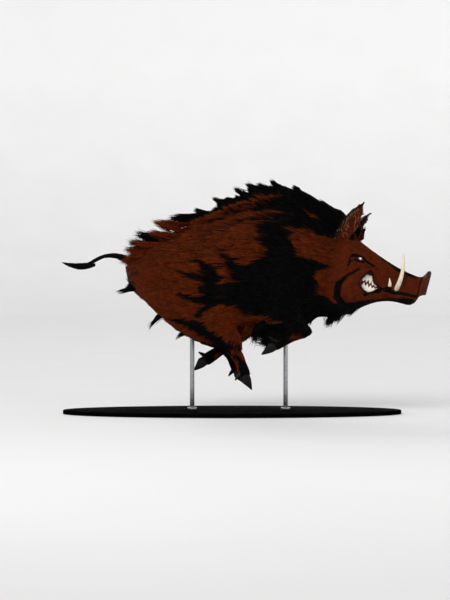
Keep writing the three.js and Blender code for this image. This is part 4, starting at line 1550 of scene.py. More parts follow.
@dataclass
class Bristles:
    """Many bristles as arrays: a root, a middle and a tip each, with what its shape and colour need."""

    root: Array
    middle: Array
    tip: Array
    up: Array
    width: Array
    dark: Array
    pale: Array
    tone: Array
    uv: Array

    def taken(self, chosen: Array) -> "Bristles":
        """Some of the bristles.

        Args:
            chosen: Their places in the arrays.

        Returns:
            The chosen bristles.
        """
        return Bristles(*[getattr(self, name)[chosen] for name in self.__dataclass_fields__])

    @classmethod
    def together(cls, parts: list["Bristles"]) -> "Bristles":
        """All the bristles of some parts, in their order."""
        names = cls.__dataclass_fields__
        return cls(*[np.concatenate([getattr(part, name) for part in parts]) for name in names])


STRAND_CORNERS = 10  # three rings of three, and the tip
RING_AT = np.array([0.0, 0.36, 0.72])  # where a bristle's three rings lie along it
RING_SIZE = np.array([0.85, 1.0, 0.62])
FLATNESS = 0.45  # a bristle's thickness as a share of its width


def bristle_mesh(bristles: Bristles, piece: str) -> Object:
    """Makes bristles one mesh: each a closed three-sided strand of three rings and a tip.

    Args:
        bristles: The bristles.
        piece: The mesh's name.

    Returns:
        The object.
    """
    count = len(bristles.root)
    rings = []
    for at, size in zip(RING_AT, RING_SIZE):
        place = (1 - at) ** 2 * bristles.root + 2 * at * (1 - at) * bristles.middle + at**2 * bristles.tip
        way = unit((1 - at) * (bristles.middle - bristles.root) + at * (bristles.tip - bristles.middle))
        side = unit(np.cross(way, bristles.up))
        rise = np.cross(side, way)
        half = 0.5 * size * bristles.width[:, None]
        rings += [place - half * side, place + half * side, place + 2 * FLATNESS * half * rise]
    co = np.stack([*rings, bristles.tip], axis=1).reshape(-1, 3)
    corners, flat = [], []
    third = 1 / 3
    for ring in range(2):
        for side in range(3):
            a, b = 3 * ring + side, 3 * ring + (side + 1) % 3
            left, right = side * third, (side + 1) * third
            low, high = ring * third, (ring + 1) * third
            corners += [(a, b, b + 3), (a, b + 3, a + 3)]
            flat += [((left, low), (right, low), (right, high)), ((left, low), (right, high), (left, high))]
    for side in range(3):
        corners.append((6 + side, 6 + (side + 1) % 3, 9))
        flat.append(((side * third, 2 * third), ((side + 1) * third, 2 * third), ((side + 0.5) * third, 1.0)))
    corners.append((2, 1, 0))
    flat.append(((0.0, 0.0), (third, 0.0), (0.5 * third, 0.5 * third)))
    pattern = np.array(corners)
    loops = (pattern.reshape(1, -1) + STRAND_CORNERS * np.arange(count)[:, None]).ravel()
    patches = np.array(flat).reshape(1, -1, 2) * PATCH + np.clip(bristles.uv, 0, 1 - PATCH)[:, None, :]
    mesh = bpy.data.meshes.new(piece)
    mesh.vertices.add(len(co))
    mesh.vertices.foreach_set("co", co.ravel())
    mesh.loops.add(len(loops))
    mesh.loops.foreach_set("vertex_index", loops.astype(np.int32))
    mesh.polygons.add(len(loops) // 3)
    mesh.polygons.foreach_set("loop_start", np.arange(0, len(loops), 3, dtype=np.int32))
    mesh.update(calc_edges=True)
    mesh.uv_layers.new(name=BAKE_MAP).data.foreach_set("uv", patches.astype(np.float32).ravel())
    for name in ("dark", "pale", "tone"):
        set_attribute(mesh, name, np.repeat(getattr(bristles, name), STRAND_CORNERS))
    set_attribute(mesh, "along", np.tile(np.append(np.repeat(RING_AT, 3), 1.0), count))
    mesh.shade_smooth()
    return new_object(piece, mesh)


@dataclass(frozen=True)
class Lock:
    """A lock that stands out of the outline, one on each side.

    Attributes:
        root: Where it grows, ahead, out to the side and up.
        tip: Where it ends.
        spread: How far its roots spread.
        bristles: How many bristles it has.
        rooted: The share of its length over which roots are found.
        dark: How black it is, or less than 0 where it takes the skin's darkness, markings and painted shade
            alike.
    """

    root: Triple
    tip: Triple
    spread: float
    bristles: int
    rooted: float = 0.0
    dark: float = -1.0


LOCKS: tuple[Lock, ...] = (
    # The crest's points over the withers.
    Lock((0.270, 0.010, 1.080), (0.190, 0.008, 1.144), 0.014, 110, 0.3, 1.0),
    Lock((0.210, 0.010, 1.085), (0.120, 0.008, 1.128), 0.014, 110, 0.3, 1.0),
    Lock((0.150, 0.010, 1.072), (0.066, 0.008, 1.130), 0.014, 130, 0.3, 1.0),
    Lock((0.095, 0.010, 1.050), (0.008, 0.008, 1.108), 0.014, 130, 0.3, 1.0),
    Lock((-0.010, 0.010, 1.005), (-0.098, 0.008, 1.058), 0.014, 120, 0.3, 1.0),
    Lock((-0.090, 0.010, 0.970), (-0.190, 0.008, 1.000), 0.014, 100, 0.3, 1.0),
    # Long locks of the back, swept over the rump, brown and black by turns.
    Lock((-0.130, 0.030, 0.985), (-0.320, 0.026, 0.958), 0.020, 120, 0.5, 0.9),
    Lock((-0.215, 0.035, 0.930), (-0.392, 0.026, 0.944), 0.022, 170, 0.5, 0.1),
    Lock((-0.240, 0.085, 0.890), (-0.415, 0.078, 0.894), 0.022, 130, 0.5, 0.2),
    Lock((-0.300, 0.030, 0.885), (-0.480, 0.034, 0.884), 0.024, 170, 0.5, 0.9),
    Lock((-0.330, 0.085, 0.840), (-0.490, 0.082, 0.840), 0.022, 130, 0.5, 0.1),
    Lock((-0.352, 0.045, 0.850), (-0.512, 0.046, 0.842), 0.024, 150, 0.5, 0.9),
    Lock((-0.380, 0.045, 0.826), (-0.530, 0.046, 0.802), 0.024, 150, 0.5, 0.1),
    Lock((-0.400, 0.090, 0.790), (-0.520, 0.086, 0.774), 0.022, 110, 0.5, 0.1),
    Lock((-0.430, 0.050, 0.775), (-0.548, 0.050, 0.744), 0.022, 100, 0.4, 0.1),
    # Down the haunch's rear edge.
    Lock((-0.480, 0.066, 0.640), (-0.524, 0.068, 0.616), 0.012, 26, 0.2, 0.9),
    Lock((-0.466, 0.072, 0.606), (-0.570, 0.088, 0.594), 0.015, 50, 0.3, 0.9),
    Lock((-0.375, 0.110, 0.462), (-0.412, 0.116, 0.416), 0.013, 36, 0.2, 0.9),
    Lock((-0.236, 0.115, 0.396), (-0.276, 0.119, 0.368), 0.012, 28, 0.2, 0.9),
    # Under the throat and the chest.
    Lock((0.610, 0.026, 0.512), (0.566, 0.028, 0.480), 0.018, 40, 0.3, 1.0),
    Lock((0.545, 0.030, 0.486), (0.500, 0.032, 0.446), 0.020, 60, 0.3, 1.0),
    Lock((0.500, 0.024, 0.476), (0.462, 0.024, 0.424), 0.022, 70, 0.3, 1.0),
    # Under the belly, ahead of the thigh, and behind the elbows: mostly black, partly as painted shade under
    # the body.
    Lock((0.105, 0.085, 0.414), (0.055, 0.095, 0.376), 0.030, 170, 0.3, 0.4),
    Lock((0.155, 0.095, 0.412), (0.104, 0.105, 0.350), 0.030, 190, 0.3, 1.0),
    Lock((0.210, 0.100, 0.412), (0.142, 0.108, 0.342), 0.030, 210, 0.3, 1.0),
    Lock((0.165, 0.140, 0.450), (0.100, 0.146, 0.400), 0.022, 90, 0.2, 1.0),
    Lock((0.262, 0.114, 0.380), (0.186, 0.116, 0.346), 0.018, 100, 0.3, 1.0),
    Lock((0.235, 0.106, 0.390), (0.158, 0.110, 0.340), 0.026, 210, 0.3, 1.0),
    Lock((0.245, 0.108, 0.402), (0.190, 0.110, 0.370), 0.030, 170, 0.3, 1.0),
    # The forehead's tuft.
    Lock((0.632, 0.012, 0.858), (0.646, 0.010, 0.914), 0.016, 60, 0.2),
)


@dataclass
class Roots:
    """Where bristles grow, as arrays: places, and the skin's normals, lie of hair, parts and unwrap there."""

    co: Array
    normal: Array
    flow: Array
    weights: Array
    uv: Array


@dataclass
class Coat:
    """The winter coat: bristles over the whole skin, gathered in locks, with a standing mane."""

    skin: Skin
    markings_and_shade: MarkingsAndShade
    seed: int = 17
    lock_spacing: int = 26  # bristles for each lock
    lock_radius: float = 0.05  # how far from its lock's leader a bristle may grow
    sink: float = 0.0015  # how far roots lie under the skin
    sway: float = 0.16  # how far a bristle strays from the hair's lie, in radians
    long_haired: Pair = (0.80, 0.96)  # the heights between which the back's hair grows longer
    pale_share: float = 0.16  # how many of the hairs in an ear are pale
    rake: Triple = (-0.86, 0.0, 0.50)  # which way the mane stands
    mane_length: Pair = (0.030, 0.150)  # its shortest and longest bristles
    lock_width: float = 0.0044  # the width of a single lock's bristles
    tuft_width: float = 0.0034  # the same in the tail's tuft
    tuft_bristles: int = 1500
    tuft_fullness: tuple[float, ...] = (1, 1, 1, 0.95, 0.8, 0.5, 0.12)  # from the tuft's root to its tip
    piece_size: int = 12000  # bristles in one mesh
    tree: BVHTree = field(init=False)
    rng: np.random.Generator = field(init=False)

    def build(self, material: Material) -> None:
        """Grows the coat and makes its pieces.

        Args:
            material: The bristles' finish.
        """
        self.rng = np.random.default_rng(self.seed)
        surface = self.skin.surface
        self.tree = BVHTree.FromPolygons(surface.co.tolist(), surface.tris.tolist())
        parts, tris, shares = self.sown_roots()
        lying = parts != Part.MANE
        groups = {
            "coat_body": (Part.TRUNK,),
            "coat_neck": (Part.NECK,),
            "coat_head": (Part.HEAD, Part.JAW, Part.EAR, Part.SNOUT),
            "coat_legs": (Part.UPPER_LEG, Part.LOWER_LEG, Part.TAIL),
        }
        bristles = self.lain(self.roots(tris[lying], shares[lying]))
        mane = self.standing(self.roots(tris[~lying], shares[~lying]))
        self.make_pieces(mane, "coat_mane", "coat_black", material)
        for name, members in groups.items():
            self.make_pieces(bristles.taken(np.isin(parts[lying], members)), name, "coat_brown", material)
        self.make_pieces(self.standing_locks(), "coat_locks", "coat_brown", material)
        tuft = bristle_mesh(self.tail_tuft(), "coat_tail_tuft")
        finish_piece(tuft, material, "coat_black", "tail_tuft")

    def make_pieces(self, bristles: Bristles, name: str, slot: str, material: Material) -> None:
        """Makes bristles into pieces of the size that is allowed.

        Args:
            bristles: The bristles.
            name: The pieces' name, to which a number is added.
            slot: Passed on, but not used.
            material: Their finish.
        """
        order = np.argsort(bristles.root[:, 0], kind="stable")
        pieces = math.ceil(len(order) / self.piece_size)
        for number, chosen in enumerate(np.array_split(order, pieces), 1):
            finish_piece(bristle_mesh(bristles.taken(chosen), f"{name}_{number}"), material, slot)

    def sown_roots(self) -> tuple[Array, Array, Array]:
        """Sows roots over the skin, as dense as each part's hair.

        Returns:
            For each root its part, its triangle and its place in that triangle.
        """
        s = self.skin.surface
        density = s.weights @ np.array([HAIR[part].density for part in Part], float)
        density *= smoothstep(0.5, 0.1, s.bare)
        a, b, c = (s.co[s.tris[:, i]] for i in range(3))
        area = 0.5 * np.linalg.norm(np.cross(b - a, c - a), axis=1)
        wanted = np.cumsum(area * density[s.tris].mean(axis=1))
        total = int(wanted[-1])
        LOG.info("coat: %d bristles on %.2f square metres", total, area.sum())
        marks = (np.arange(total) + self.rng.random(total)) * wanted[-1] / total
        tris = np.minimum(np.searchsorted(wanted, marks), len(wanted) - 1)
        first, second = self.rng.random(total), self.rng.random(total)
        folded = first + second > 1
        first, second = np.where(folded, 1 - first, first), np.where(folded, 1 - second, second)
        shares = np.column_stack([1 - first - second, first, second])
        weights = np.einsum("ij,ijk->ik", shares, s.weights[s.tris[tris]])
        return np.argmax(weights, axis=1), tris, shares

    def roots(self, tris: Array, shares: Array) -> Roots:
        """Reads the skin where bristles grow.

        Args:
            tris: Each root's triangle.
            shares: Its place there, as shares of the three corners.

        Returns:
            The roots.
        """
        s = self.skin.surface
        co, normal, flow, weights = (
            np.einsum("ij,ij...->i...", shares, values[s.tris[tris]])
            for values in (s.co, s.normal, s.flow, s.weights)
        )
        uv = np.einsum("ij,ijk->ik", shares, s.tri_uv[tris])
        return Roots(co, unit(normal), unit(flow), weights, uv)

    def hair_at(self, weights: Array, name: str) -> Array:
        """One of the hair's measures, mixed where parts meet."""
        return weights @ np.array([getattr(HAIR[part], name) for part in Part], float)

    def over_skin(self, points: Array, height: Array) -> Array:
        """Points moved to a height over the skin.

        Args:
            points: The points.
            height: How high over the skin each comes to lie.

        Returns:
            The moved points.
        """
        moved = np.empty_like(points)
        for i, point in enumerate(points):
            place, normal, _, _ = self.tree.find_nearest(point)
            moved[i] = place + normal * height[i]
        return moved

    def varied(self, low: float, high: float, count: int) -> Array:
        """Random factors, one for each bristle."""
        return self.rng.uniform(low, high, count)

    def tones(self, lead: Array) -> Array:
        """Each bristle's tone, half its own and half its lock's."""
        own, shared = self.rng.random(len(lead)), self.rng.random(len(lead))
        return np.clip(0.5 * own + 0.5 * shared[lead], 0, 1)

    def lain(self, roots: Roots) -> Bristles:
        """Bristles that lie along the skin, with their tips gathered in locks.

        Args:
            roots: Where they grow.

        Returns:
            The bristles.
        """
        root, normal, weights, count = roots.co, roots.normal, roots.weights, len(roots.co)
        turn = self.rng.normal(0, self.sway, count)[:, None]
        way = unit(roots.flow + turn * np.cross(normal, roots.flow))
        in_ear = smoothstep(0.6, 0.9, weights[:, Part.EAR]) * self.markings_and_shade.in_ear(root, normal)
        back = weights[:, Part.TRUNK] * smoothstep(*self.long_haired, root[:, 2])
        length = self.hair_at(weights, "length") * self.varied(0.7, 1.2, count)
        length *= 1 + 0.5 * back + 1.2 * in_ear
        stand = self.hair_at(weights, "stand") * self.varied(0.45, 1.15, count) + 0.004 * in_ear
        middle = self.over_skin(root + 0.5 * length[:, None] * way, 0.75 * stand)
        tip = self.over_skin(root + length[:, None] * way, stand)
        gather = self.hair_at(weights, "gather") * self.varied(0.6, 1.2, count)
        lead, held = self.lock_leads(root, normal)
        gather = np.where(held, np.minimum(gather, 0.95), 0.0)[:, None]
        tip = tip + gather * (tip[lead] - tip)
        middle = middle + 0.45 * gather * (middle[lead] - middle)
        straight = root + 0.6 * length[:, None] * way + stand[:, None] * normal
        stray = (np.linalg.norm(tip - root, axis=1) > 1.2 * length)[:, None]
        stray |= (np.linalg.norm(middle - root, axis=1) > 0.8 * length)[:, None]
        tip = np.where(stray, straight, tip)
        middle = np.where(stray, (root + straight) / 2 + 0.3 * stand[:, None] * normal, middle)
        width = self.hair_at(weights, "width") * self.varied(0.75, 1.2, count)
        dark = self.markings_and_shade.darkness(0.3 * root + 0.7 * middle, normal, weights)
        # Some of an ear's hairs are pale, and more of them along the right ear's painted highlight.
        chance = np.maximum(self.pale_share, self.markings_and_shade.on_right_ear(root, EAR_HIGHLIGHT)) * in_ear
        pale = (self.rng.random(count) < chance).astype(float)
        tone = self.tones(lead)
        return Bristles(root - self.sink * normal, middle, tip, normal, width, dark, pale, tone, roots.uv)

    def lock_leads(self, root: Array, normal: Array) -> tuple[Array, Array]:
        """Which bristle leads each one's lock.

        Args:
            root: The roots.
            normal: The skin's normals there.

        Returns:
            The leading bristle's place in the arrays, and whether it is near enough to follow.
        """
        leads = self.rng.permutation(len(root))[:: self.lock_spacing]
        tree = KDTree(len(leads))
        for place, lead in enumerate(leads):
            tree.insert(root[lead], place)
        tree.balance()
        found = [tree.find(point) for point in root]
        lead = leads[np.array([hit[1] for hit in found])]
        away = np.array([hit[2] for hit in found])
        return lead, (away < self.lock_radius) & (np.sum(normal * normal[lead], axis=1) > 0.6)

    def standing(self, roots: Roots) -> Bristles:
        """The mane's bristles, raked back and as long as the crest's outline lets them be.

        Args:
            roots: Where they grow.

        Returns:
            The bristles.
        """
        root, normal, count = roots.co, roots.normal, len(roots.co)
        upright = np.clip(normal[:, 2], 0.0, 1.0)[:, None]
        rake = np.array(self.rake) + self.rng.normal(0, 0.07, (count, 3)) * np.array([1.0, 0.9, 1.0])
        way = unit(rake + 0.22 * normal * (1 - 0.4 * upright))
        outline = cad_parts["mane"].data
        faces = [list(polygon.vertices) for polygon in outline.polygons]
        crest = BVHTree.FromPolygons([vertex.co[:] for vertex in outline.vertices], faces)
        hits = [crest.ray_cast(place, ahead) for place, ahead in zip(root, way)]
        shortest, longest = self.mane_length
        room = np.array([shortest if hit[0] is None else hit[3] for hit in hits])
        length = np.clip(room, shortest, longest) * self.varied(0.84, 1.14, count)
        tip = root + length[:, None] * way
        middle = root + 0.5 * length[:, None] * way + 0.05 * length[:, None] * UP
        lead, held = self.lock_leads(root, normal)
        gather = np.where(held, HAIR[Part.MANE].gather * self.varied(0.5, 1.2, count), 0.0)[:, None]
        tip = tip + gather * (tip[lead] - tip)
        middle = middle + 0.4 * gather * (middle[lead] - middle)
        width = HAIR[Part.MANE].width * self.varied(0.75, 1.25, count)
        tone = self.tones(lead)
        dark = self.markings_and_shade.darkness(root, normal, roots.weights)
        above = unit(normal + 0.3 * unit(np.cross(way, np.array([0.0, 1.0, 0.0]))))
        pale = np.zeros(count)
        return Bristles(root - self.sink * normal, middle, tip, above, width, dark, pale, tone, roots.uv)

    def standing_locks(self) -> Bristles:
        """The bristles of the single locks that stand out of the outline."""
        mirrors = [np.array([1.0, side, 1.0]) for side in SIDES.values()]
        return Bristles.together([self.one_lock(lock, mirror) for lock in LOCKS for mirror in mirrors])

    def one_lock(self, lock: Lock, mirror: Array) -> Bristles:
        """One lock's bristles.

        Args:
            lock: The lock, as on the left side.
            mirror: What turns it to its own side.

        Returns:
            The bristles.
        """
        count = lock.bristles
        start, end = np.array(lock.root) * mirror, np.array(lock.tip) * mirror
        share = self.varied(0, max(lock.rooted, 1e-6), count)[:, None]
        wanted = start + share * (end - start) + lock.spread * self.rng.normal(0, 0.55, (count, 3))
        found = [self.tree.find_nearest(point) for point in wanted]
        reach = lock.rooted * np.linalg.norm(end - start) + 3 * lock.spread
        near = [hit for hit in found if np.linalg.norm(np.array(hit[0]) - start) < reach]
        count = len(near)
        root = np.array([hit[0] for hit in near]).reshape(-1, 3)
        roots = self.roots(np.array([hit[2] for hit in near], dtype=int), np.full((count, 3), 1 / 3))
        normal = roots.normal
        frayed = end + 0.40 * lock.spread * self.rng.normal(size=(count, 3))
        tip = root + self.varied(0.55, 1.0, count)[:, None] * (frayed - root)
        length = np.linalg.norm(tip - root, axis=1, keepdims=True)
        middle = root + 0.5 * (tip - root) + 0.10 * length * roots.flow + 0.03 * length * normal
        width = self.lock_width * self.varied(0.7, 1.2, count)
        if lock.dark < 0:
            dark = self.markings_and_shade.darkness(root, normal, roots.weights)
        else:
            dark = lock.dark + self.rng.normal(0, 0.14, count)
        tone, pale = self.rng.random(count), np.zeros(count)
        return Bristles(root - self.sink * normal, middle, tip, normal, width, dark, pale, tone, roots.uv)

    def tail_tuft(self) -> Bristles:
        """The tail's tuft: bristles along the frame's tuft, fanning out and then drawn to its tip.

        Returns:
            The bristles.
        """
        s = self.skin.surface
        points = node_points("tail_tuft")
        low, high = points[:, 0].min(), points[:, 0].max()
        places = np.arange(len(self.tuft_fullness))
        stations = np.linspace(high, low, len(places))
        near = [points[np.abs(points[:, 0] - x) < 0.022] for x in stations]
        middles = np.array([(part.min(axis=0) + part.max(axis=0)) / 2 for part in near])
        sizes = np.array([(part.max(axis=0) - part.min(axis=0))[1:] / 2 for part in near])
        sizes *= np.array(self.tuft_fullness)[:, None]
        middles[:, 0] = stations
        count = self.tuft_bristles
        start = self.varied(-0.12, 0.62, count)
        reach = np.clip(start + self.varied(0.30, 0.55, count), 0.0, 1.0)
        angle = self.varied(0, 2 * math.pi, count)
        radial = np.sqrt(self.rng.random(count))
        offset = np.column_stack([np.zeros(count), np.cos(angle), np.sin(angle)])

        def line(share: Array, fill: float) -> Array:
            """Places along the tuft, some way out from its middle line.

            Args:
                share: How far along it each lies.
                fill: How far out, as a share of its thickness there.

            Returns:
                The places.
            """
            at = np.clip(share, 0, 1) * places[-1]
            centre = np.column_stack([np.interp(at, places, middles[:, k]) for k in range(3)])
            centre[:, 0] += np.minimum(share, 0) * (low - high)
            half = np.column_stack([np.zeros(count)] + [np.interp(at, places, sizes[:, k]) for k in range(2)])
            return centre + fill * radial[:, None] * offset * half

        root, middle, tip = line(start, 0.35), line((start + reach) / 2, 0.85), line(reach, 0.8)
        tails = s.weights[:, Part.TAIL] > 0.5
        uv_of_tail = s.tri_uv[np.flatnonzero(tails[s.tris].all(axis=1))].mean(axis=1)
        uv = uv_of_tail[self.rng.integers(0, len(uv_of_tail), count)]
        width = self.tuft_width * self.varied(0.7, 1.2, count)
        dark, pale, tone = np.full(count, 0.95), np.zeros(count), self.rng.random(count)
        return Bristles(root, middle, tip, unit(offset), width, dark, pale, tone, uv)


# ---------------------------------------------------------------- eyes, teeth, tusks and hooves


@dataclass
class Eyes:
    """The two glass eyes.

    Attributes:
        gaze: Where the right eye looks, in the head's axes. The left one mirrors it.
        bulge: How far the cornea stands out of the ball.
        lens: The radii at which that bulge ends and is full.
    """

    head: HeadFrame
    gaze: Triple = (0.66, -0.74, 0.06)
    bulge: float = 0.0008
    lens: Pair = (0.0085, 0.002)

    def build(self, material: Material) -> None:
        """Makes both eyes.

        Args:
            material: Their finish.
        """
        radius = eye_radius()
        for label, side in SIDES.items():
            middle = node_middle(f"eye_{label}")
            gaze = unit((np.array(self.gaze) * np.array([1.0, -side, 1.0])) @ self.head.axes)
            bpy.ops.mesh.primitive_uv_sphere_add(segments=48, ring_count=32, radius=radius - 0.0002)
            ob = bpy.context.object
            ob.name = f"glass_eye_{label}"
            turn = Vector((0, 0, 1)).rotation_difference(Vector(gaze)).to_matrix().to_4x4()
            ob.data.transform(Matrix.Translation(Vector(middle)) @ turn)
            co = coordinates(ob)
            toward = (co - middle) @ gaze
            off = np.linalg.norm(np.cross(co - middle, gaze), axis=1)
            co += (self.bulge * smoothstep(*self.lens, off) * (toward > 0))[:, None] * gaze
            set_coordinates(ob, co)
            set_attribute(ob.data, "from_pupil", np.where(toward > 0, off, 2 * radius))
            ob.data.shade_smooth()
            finish_piece(ob, material, "eye_glass", f"eye_{label}")


def refined_node(node: str, name: str, levels: int, crease_over: float) -> Object:
    """A smooth copy of a frame node, its sharper edges held.

    Args:
        node: The frame node.
        name: The copy's name.
        levels: How often it is subdivided.
        crease_over: The angle between faces, in degrees, past which an edge stays firm.

    Returns:
        The copy.
    """
    ob = copy_of_node(node, name)
    bm = bmesh.new()
    bm.from_mesh(ob.data)
    crease = bm.edges.layers.float.new("crease_edge")
    for edge in bm.edges:
        firm = len(edge.link_faces) == 2 and edge.calc_face_angle(0.0) > math.radians(crease_over)
        edge[crease] = 0.75 if firm else 0.0
    bm.to_mesh(ob.data)
    bm.free()
    apply_modifier(ob, "SUBSURF", levels=levels, render_levels=levels)
    ob.data.shade_smooth()
    return ob


class Tusks:
    """The four tusks: two long ones from the lower jaw and two short ones that whet them."""

    def build(self, material: Material) -> None:
        """Makes the tusks.

        Args:
            material: Their finish.
        """
        for kind in ("lower", "upper"):
            for label in SIDES:
                node = f"tusk_{kind}_{label}"
                ob = refined_node(node, f"ivory_{node}", 2, 70)
                z = coordinates(ob)[:, 2]
                set_attribute(ob.data, "along", (z - z.min()) / (z.max() - z.min()))
                finish_piece(ob, material, "tusk_ivory", node)


@dataclass
class Teeth:
    """The cheek teeth that the snarl bares, upper and lower, in one piece a side.

    Attributes:
        upper: Each upper tooth's place along the head, its gum line's height, its height and its width.
        lower: The same for the lower teeth.
        out: How far out from the head's middle plane they stand at the rear.
        narrowing: How much less that is for each metre ahead.
        depth: A crown's depth across the row.
    """

    head: HeadFrame
    upper: tuple[Tooth, ...] = (
        (0.180, -0.026, 0.020, 0.0175), (0.196, -0.012, 0.034, 0.0200), (0.2135, -0.012, 0.036, 0.0195),
        (0.230, -0.036, 0.018, 0.0165), (0.245, -0.047, 0.010, 0.0140),
    )
    lower: tuple[Tooth, ...] = (
        (0.187, -0.079, 0.028, 0.0180), (0.2045, -0.089, 0.035, 0.0195), (0.2215, -0.091, 0.035, 0.0180),
        (0.2375, -0.081, 0.021, 0.0160), (0.252, -0.071, 0.010, 0.0135),
    )
    out: float = 0.0610
    narrowing: float = 0.06
    depth: float = 0.0110

    def build(self, material: Material) -> None:
        """Makes the teeth.

        Args:
            material: Their finish.
        """
        for label, side in SIDES.items():
            rows = [(tooth, -1.0) for tooth in self.upper] + [(tooth, 1.0) for tooth in self.lower]
            crowns = [self.crown(tooth, side, up) for tooth, up in rows]
            finish_piece(joined(crowns, f"cheek_teeth_{label}"), material, "tusk_ivory")

    def crown(self, tooth: Tooth, side: float, up: float) -> Object:
        """One tooth: a block drawn out to a blunt point between two low cusps, and rounded off.

        Args:
            tooth: Its place along the head, its gum line's height, its own height and its width.
            side: 1 on the left and -1 on the right.
            up: 1 if it points up and -1 if it points down.

        Returns:
            The tooth.
        """
        along, gum, height, width = tooth
        bpy.ops.mesh.primitive_cube_add(size=1.0)
        ob = bpy.context.object
        edit_whole(ob, partial(bpy.ops.mesh.subdivide, number_cuts=3))
        co = coordinates(ob)
        share = co[:, 2] + 0.5
        set_attribute(ob.data, "along", share)
        crest = smoothstep(0.4, 1.0, share)
        middle = np.exp(-((co[:, 0] / 0.22) ** 2))
        co[:, 2] = share * (0.76 + 0.36 * middle * crest) - 0.10 * crest * (1 - middle)
        co[:, 0] *= 1 + 0.12 * np.sin(math.pi * share) - 0.22 * crest
        co[:, 1] *= 1 - 0.45 * crest
        co *= np.array([width, self.depth, height * 1.15])
        co[:, 2] -= 0.002
        turned = co * np.array([1.0, 1.0, up])
        out = self.out - self.narrowing * (along - self.upper[0][0])
        set_coordinates(ob, self.head.outside(turned + np.array([along, side * out, gum])))
        if up < 0:
            ob.data.flip_normals()
        apply_modifier(ob, "SUBSURF", levels=1, render_levels=1)
        ob.data.shade_smooth()
        return ob


@dataclass
class Hooves:
    """Main claws and dewclaws, one piece each.

    Attributes:
        sunk: How far their roots reach back into the foot.
    """

    sunk: float = 0.013

    def build(self, material: Material) -> None:
        """Makes all sixteen.

        Args:
            material: Their finish.
        """
        for leg in LEGS:
            for kind, levels, crease in (("claw", 3, 48), ("dewclaw", 2, 60)):
                for label in SIDES:
                    node = f"{kind}_{leg}_{label}"
                    ob = refined_node(node, f"horn_{node}", levels, crease)
                    self.sink(ob, node_points(f"{leg}_lower").mean(axis=0))
                    finish_piece(ob, material, "horn", node)

    def sink(self, ob: Object, leg: Array) -> None:
        """Draws a claw's root back into its foot.

        Args:
            ob: The claw.
            leg: The middle of its leg.
        """
        co = coordinates(ob)
        tip = co[np.argmax(np.linalg.norm(co - leg, axis=1))]
        back = unit(co.mean(axis=0) - tip)
        share = (co - tip) @ back
        set_coordinates(ob, co + self.sunk * smoothstep(0.84, 0.98, share / share.max())[:, None] * back)


# ---------------------------------------------------------------- stand and studio


@dataclass
class Stand:
    """The display stand: an oval lacquered base and two steel rods in turned collars.

    Attributes:
        edge: How far the base's edges are rounded.
        rod_edge: The same for the rods and collars.
        collar_radius: A collar's radius as a share of its rod's.
        collar_height: A collar's height.
        collar_gap: The gap under it.
    """

    SHARP = math.radians(50)  # past this angle an edge is rounded
    SMOOTH = math.radians(35)  # up to this angle faces are shaded as one

    edge: float = 0.005
    rod_edge: float = 0.002
    collar_radius: float = 2.1
    collar_height: float = 0.012
    collar_gap: float = 0.0003

    def build(self, lacquer: Material, steel: Material) -> None:
        """Makes the base, the rods and their collars.

        Args:
            lacquer: The base's finish.
            steel: The rods' finish.
        """
        low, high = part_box("stand_base")
        size = high - low
        bpy.ops.mesh.primitive_cylinder_add(vertices=192, radius=0.5, depth=1.0)
        base = bpy.context.object
        base.name = "lacquered_base"
        base.data.transform(Matrix.Translation((low + high) / 2) @ Matrix.Diagonal((*size, 1.0)))
        self.rounded(base, self.edge, 4)
        active_only(base)
        bpy.ops.object.shade_smooth_by_angle(angle=self.SMOOTH)
        finish_piece(base, lacquer, "stand_lacquer", "stand_base")
        for place in ("front", "rear"):
            self.rod(place, high.z, steel)

    def rod(self, place: str, floor: float, steel: Material) -> None:
        """One rod with its collar.

        Args:
            place: Which of the two.
            floor: The height of the base's top.
            steel: Its finish.
        """
        node = f"stand_rod_{place}"
        low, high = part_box(node)
        radius = (high.x - low.x) / 2
        middle = (low + high) / 2
        bpy.ops.mesh.primitive_cylinder_add(vertices=48, radius=radius, depth=high.z - low.z, location=middle)
        shaft = bpy.context.object
        wide = self.collar_radius * radius
        at = Vector((middle.x, middle.y, floor + self.collar_height / 2 + self.collar_gap))
        bpy.ops.mesh.primitive_cylinder_add(vertices=64, radius=wide, depth=self.collar_height, location=at)
        collar = bpy.context.object
        for ob in (shaft, collar):
            active_only(ob)
            bpy.ops.object.transform_apply(location=True, rotation=True, scale=True)
            self.rounded(ob, self.rod_edge, 3)
        whole = joined([shaft, collar], f"steel_rod_{place}")
        bpy.ops.object.shade_smooth_by_angle(angle=self.SMOOTH)
        finish_piece(whole, steel, "stand_steel", node)

    def rounded(self, ob: Object, width: float, segments: int) -> None:
        """Rounds a piece's sharp edges.

        Args:
            ob: The piece.
            width: How wide the rounding is.
            segments: How many strips it has.
        """
        sharp = {"limit_method": "ANGLE", "angle_limit": self.SHARP}
        apply_modifier(ob, "BEVEL", width=width, segments=segments, **sharp)


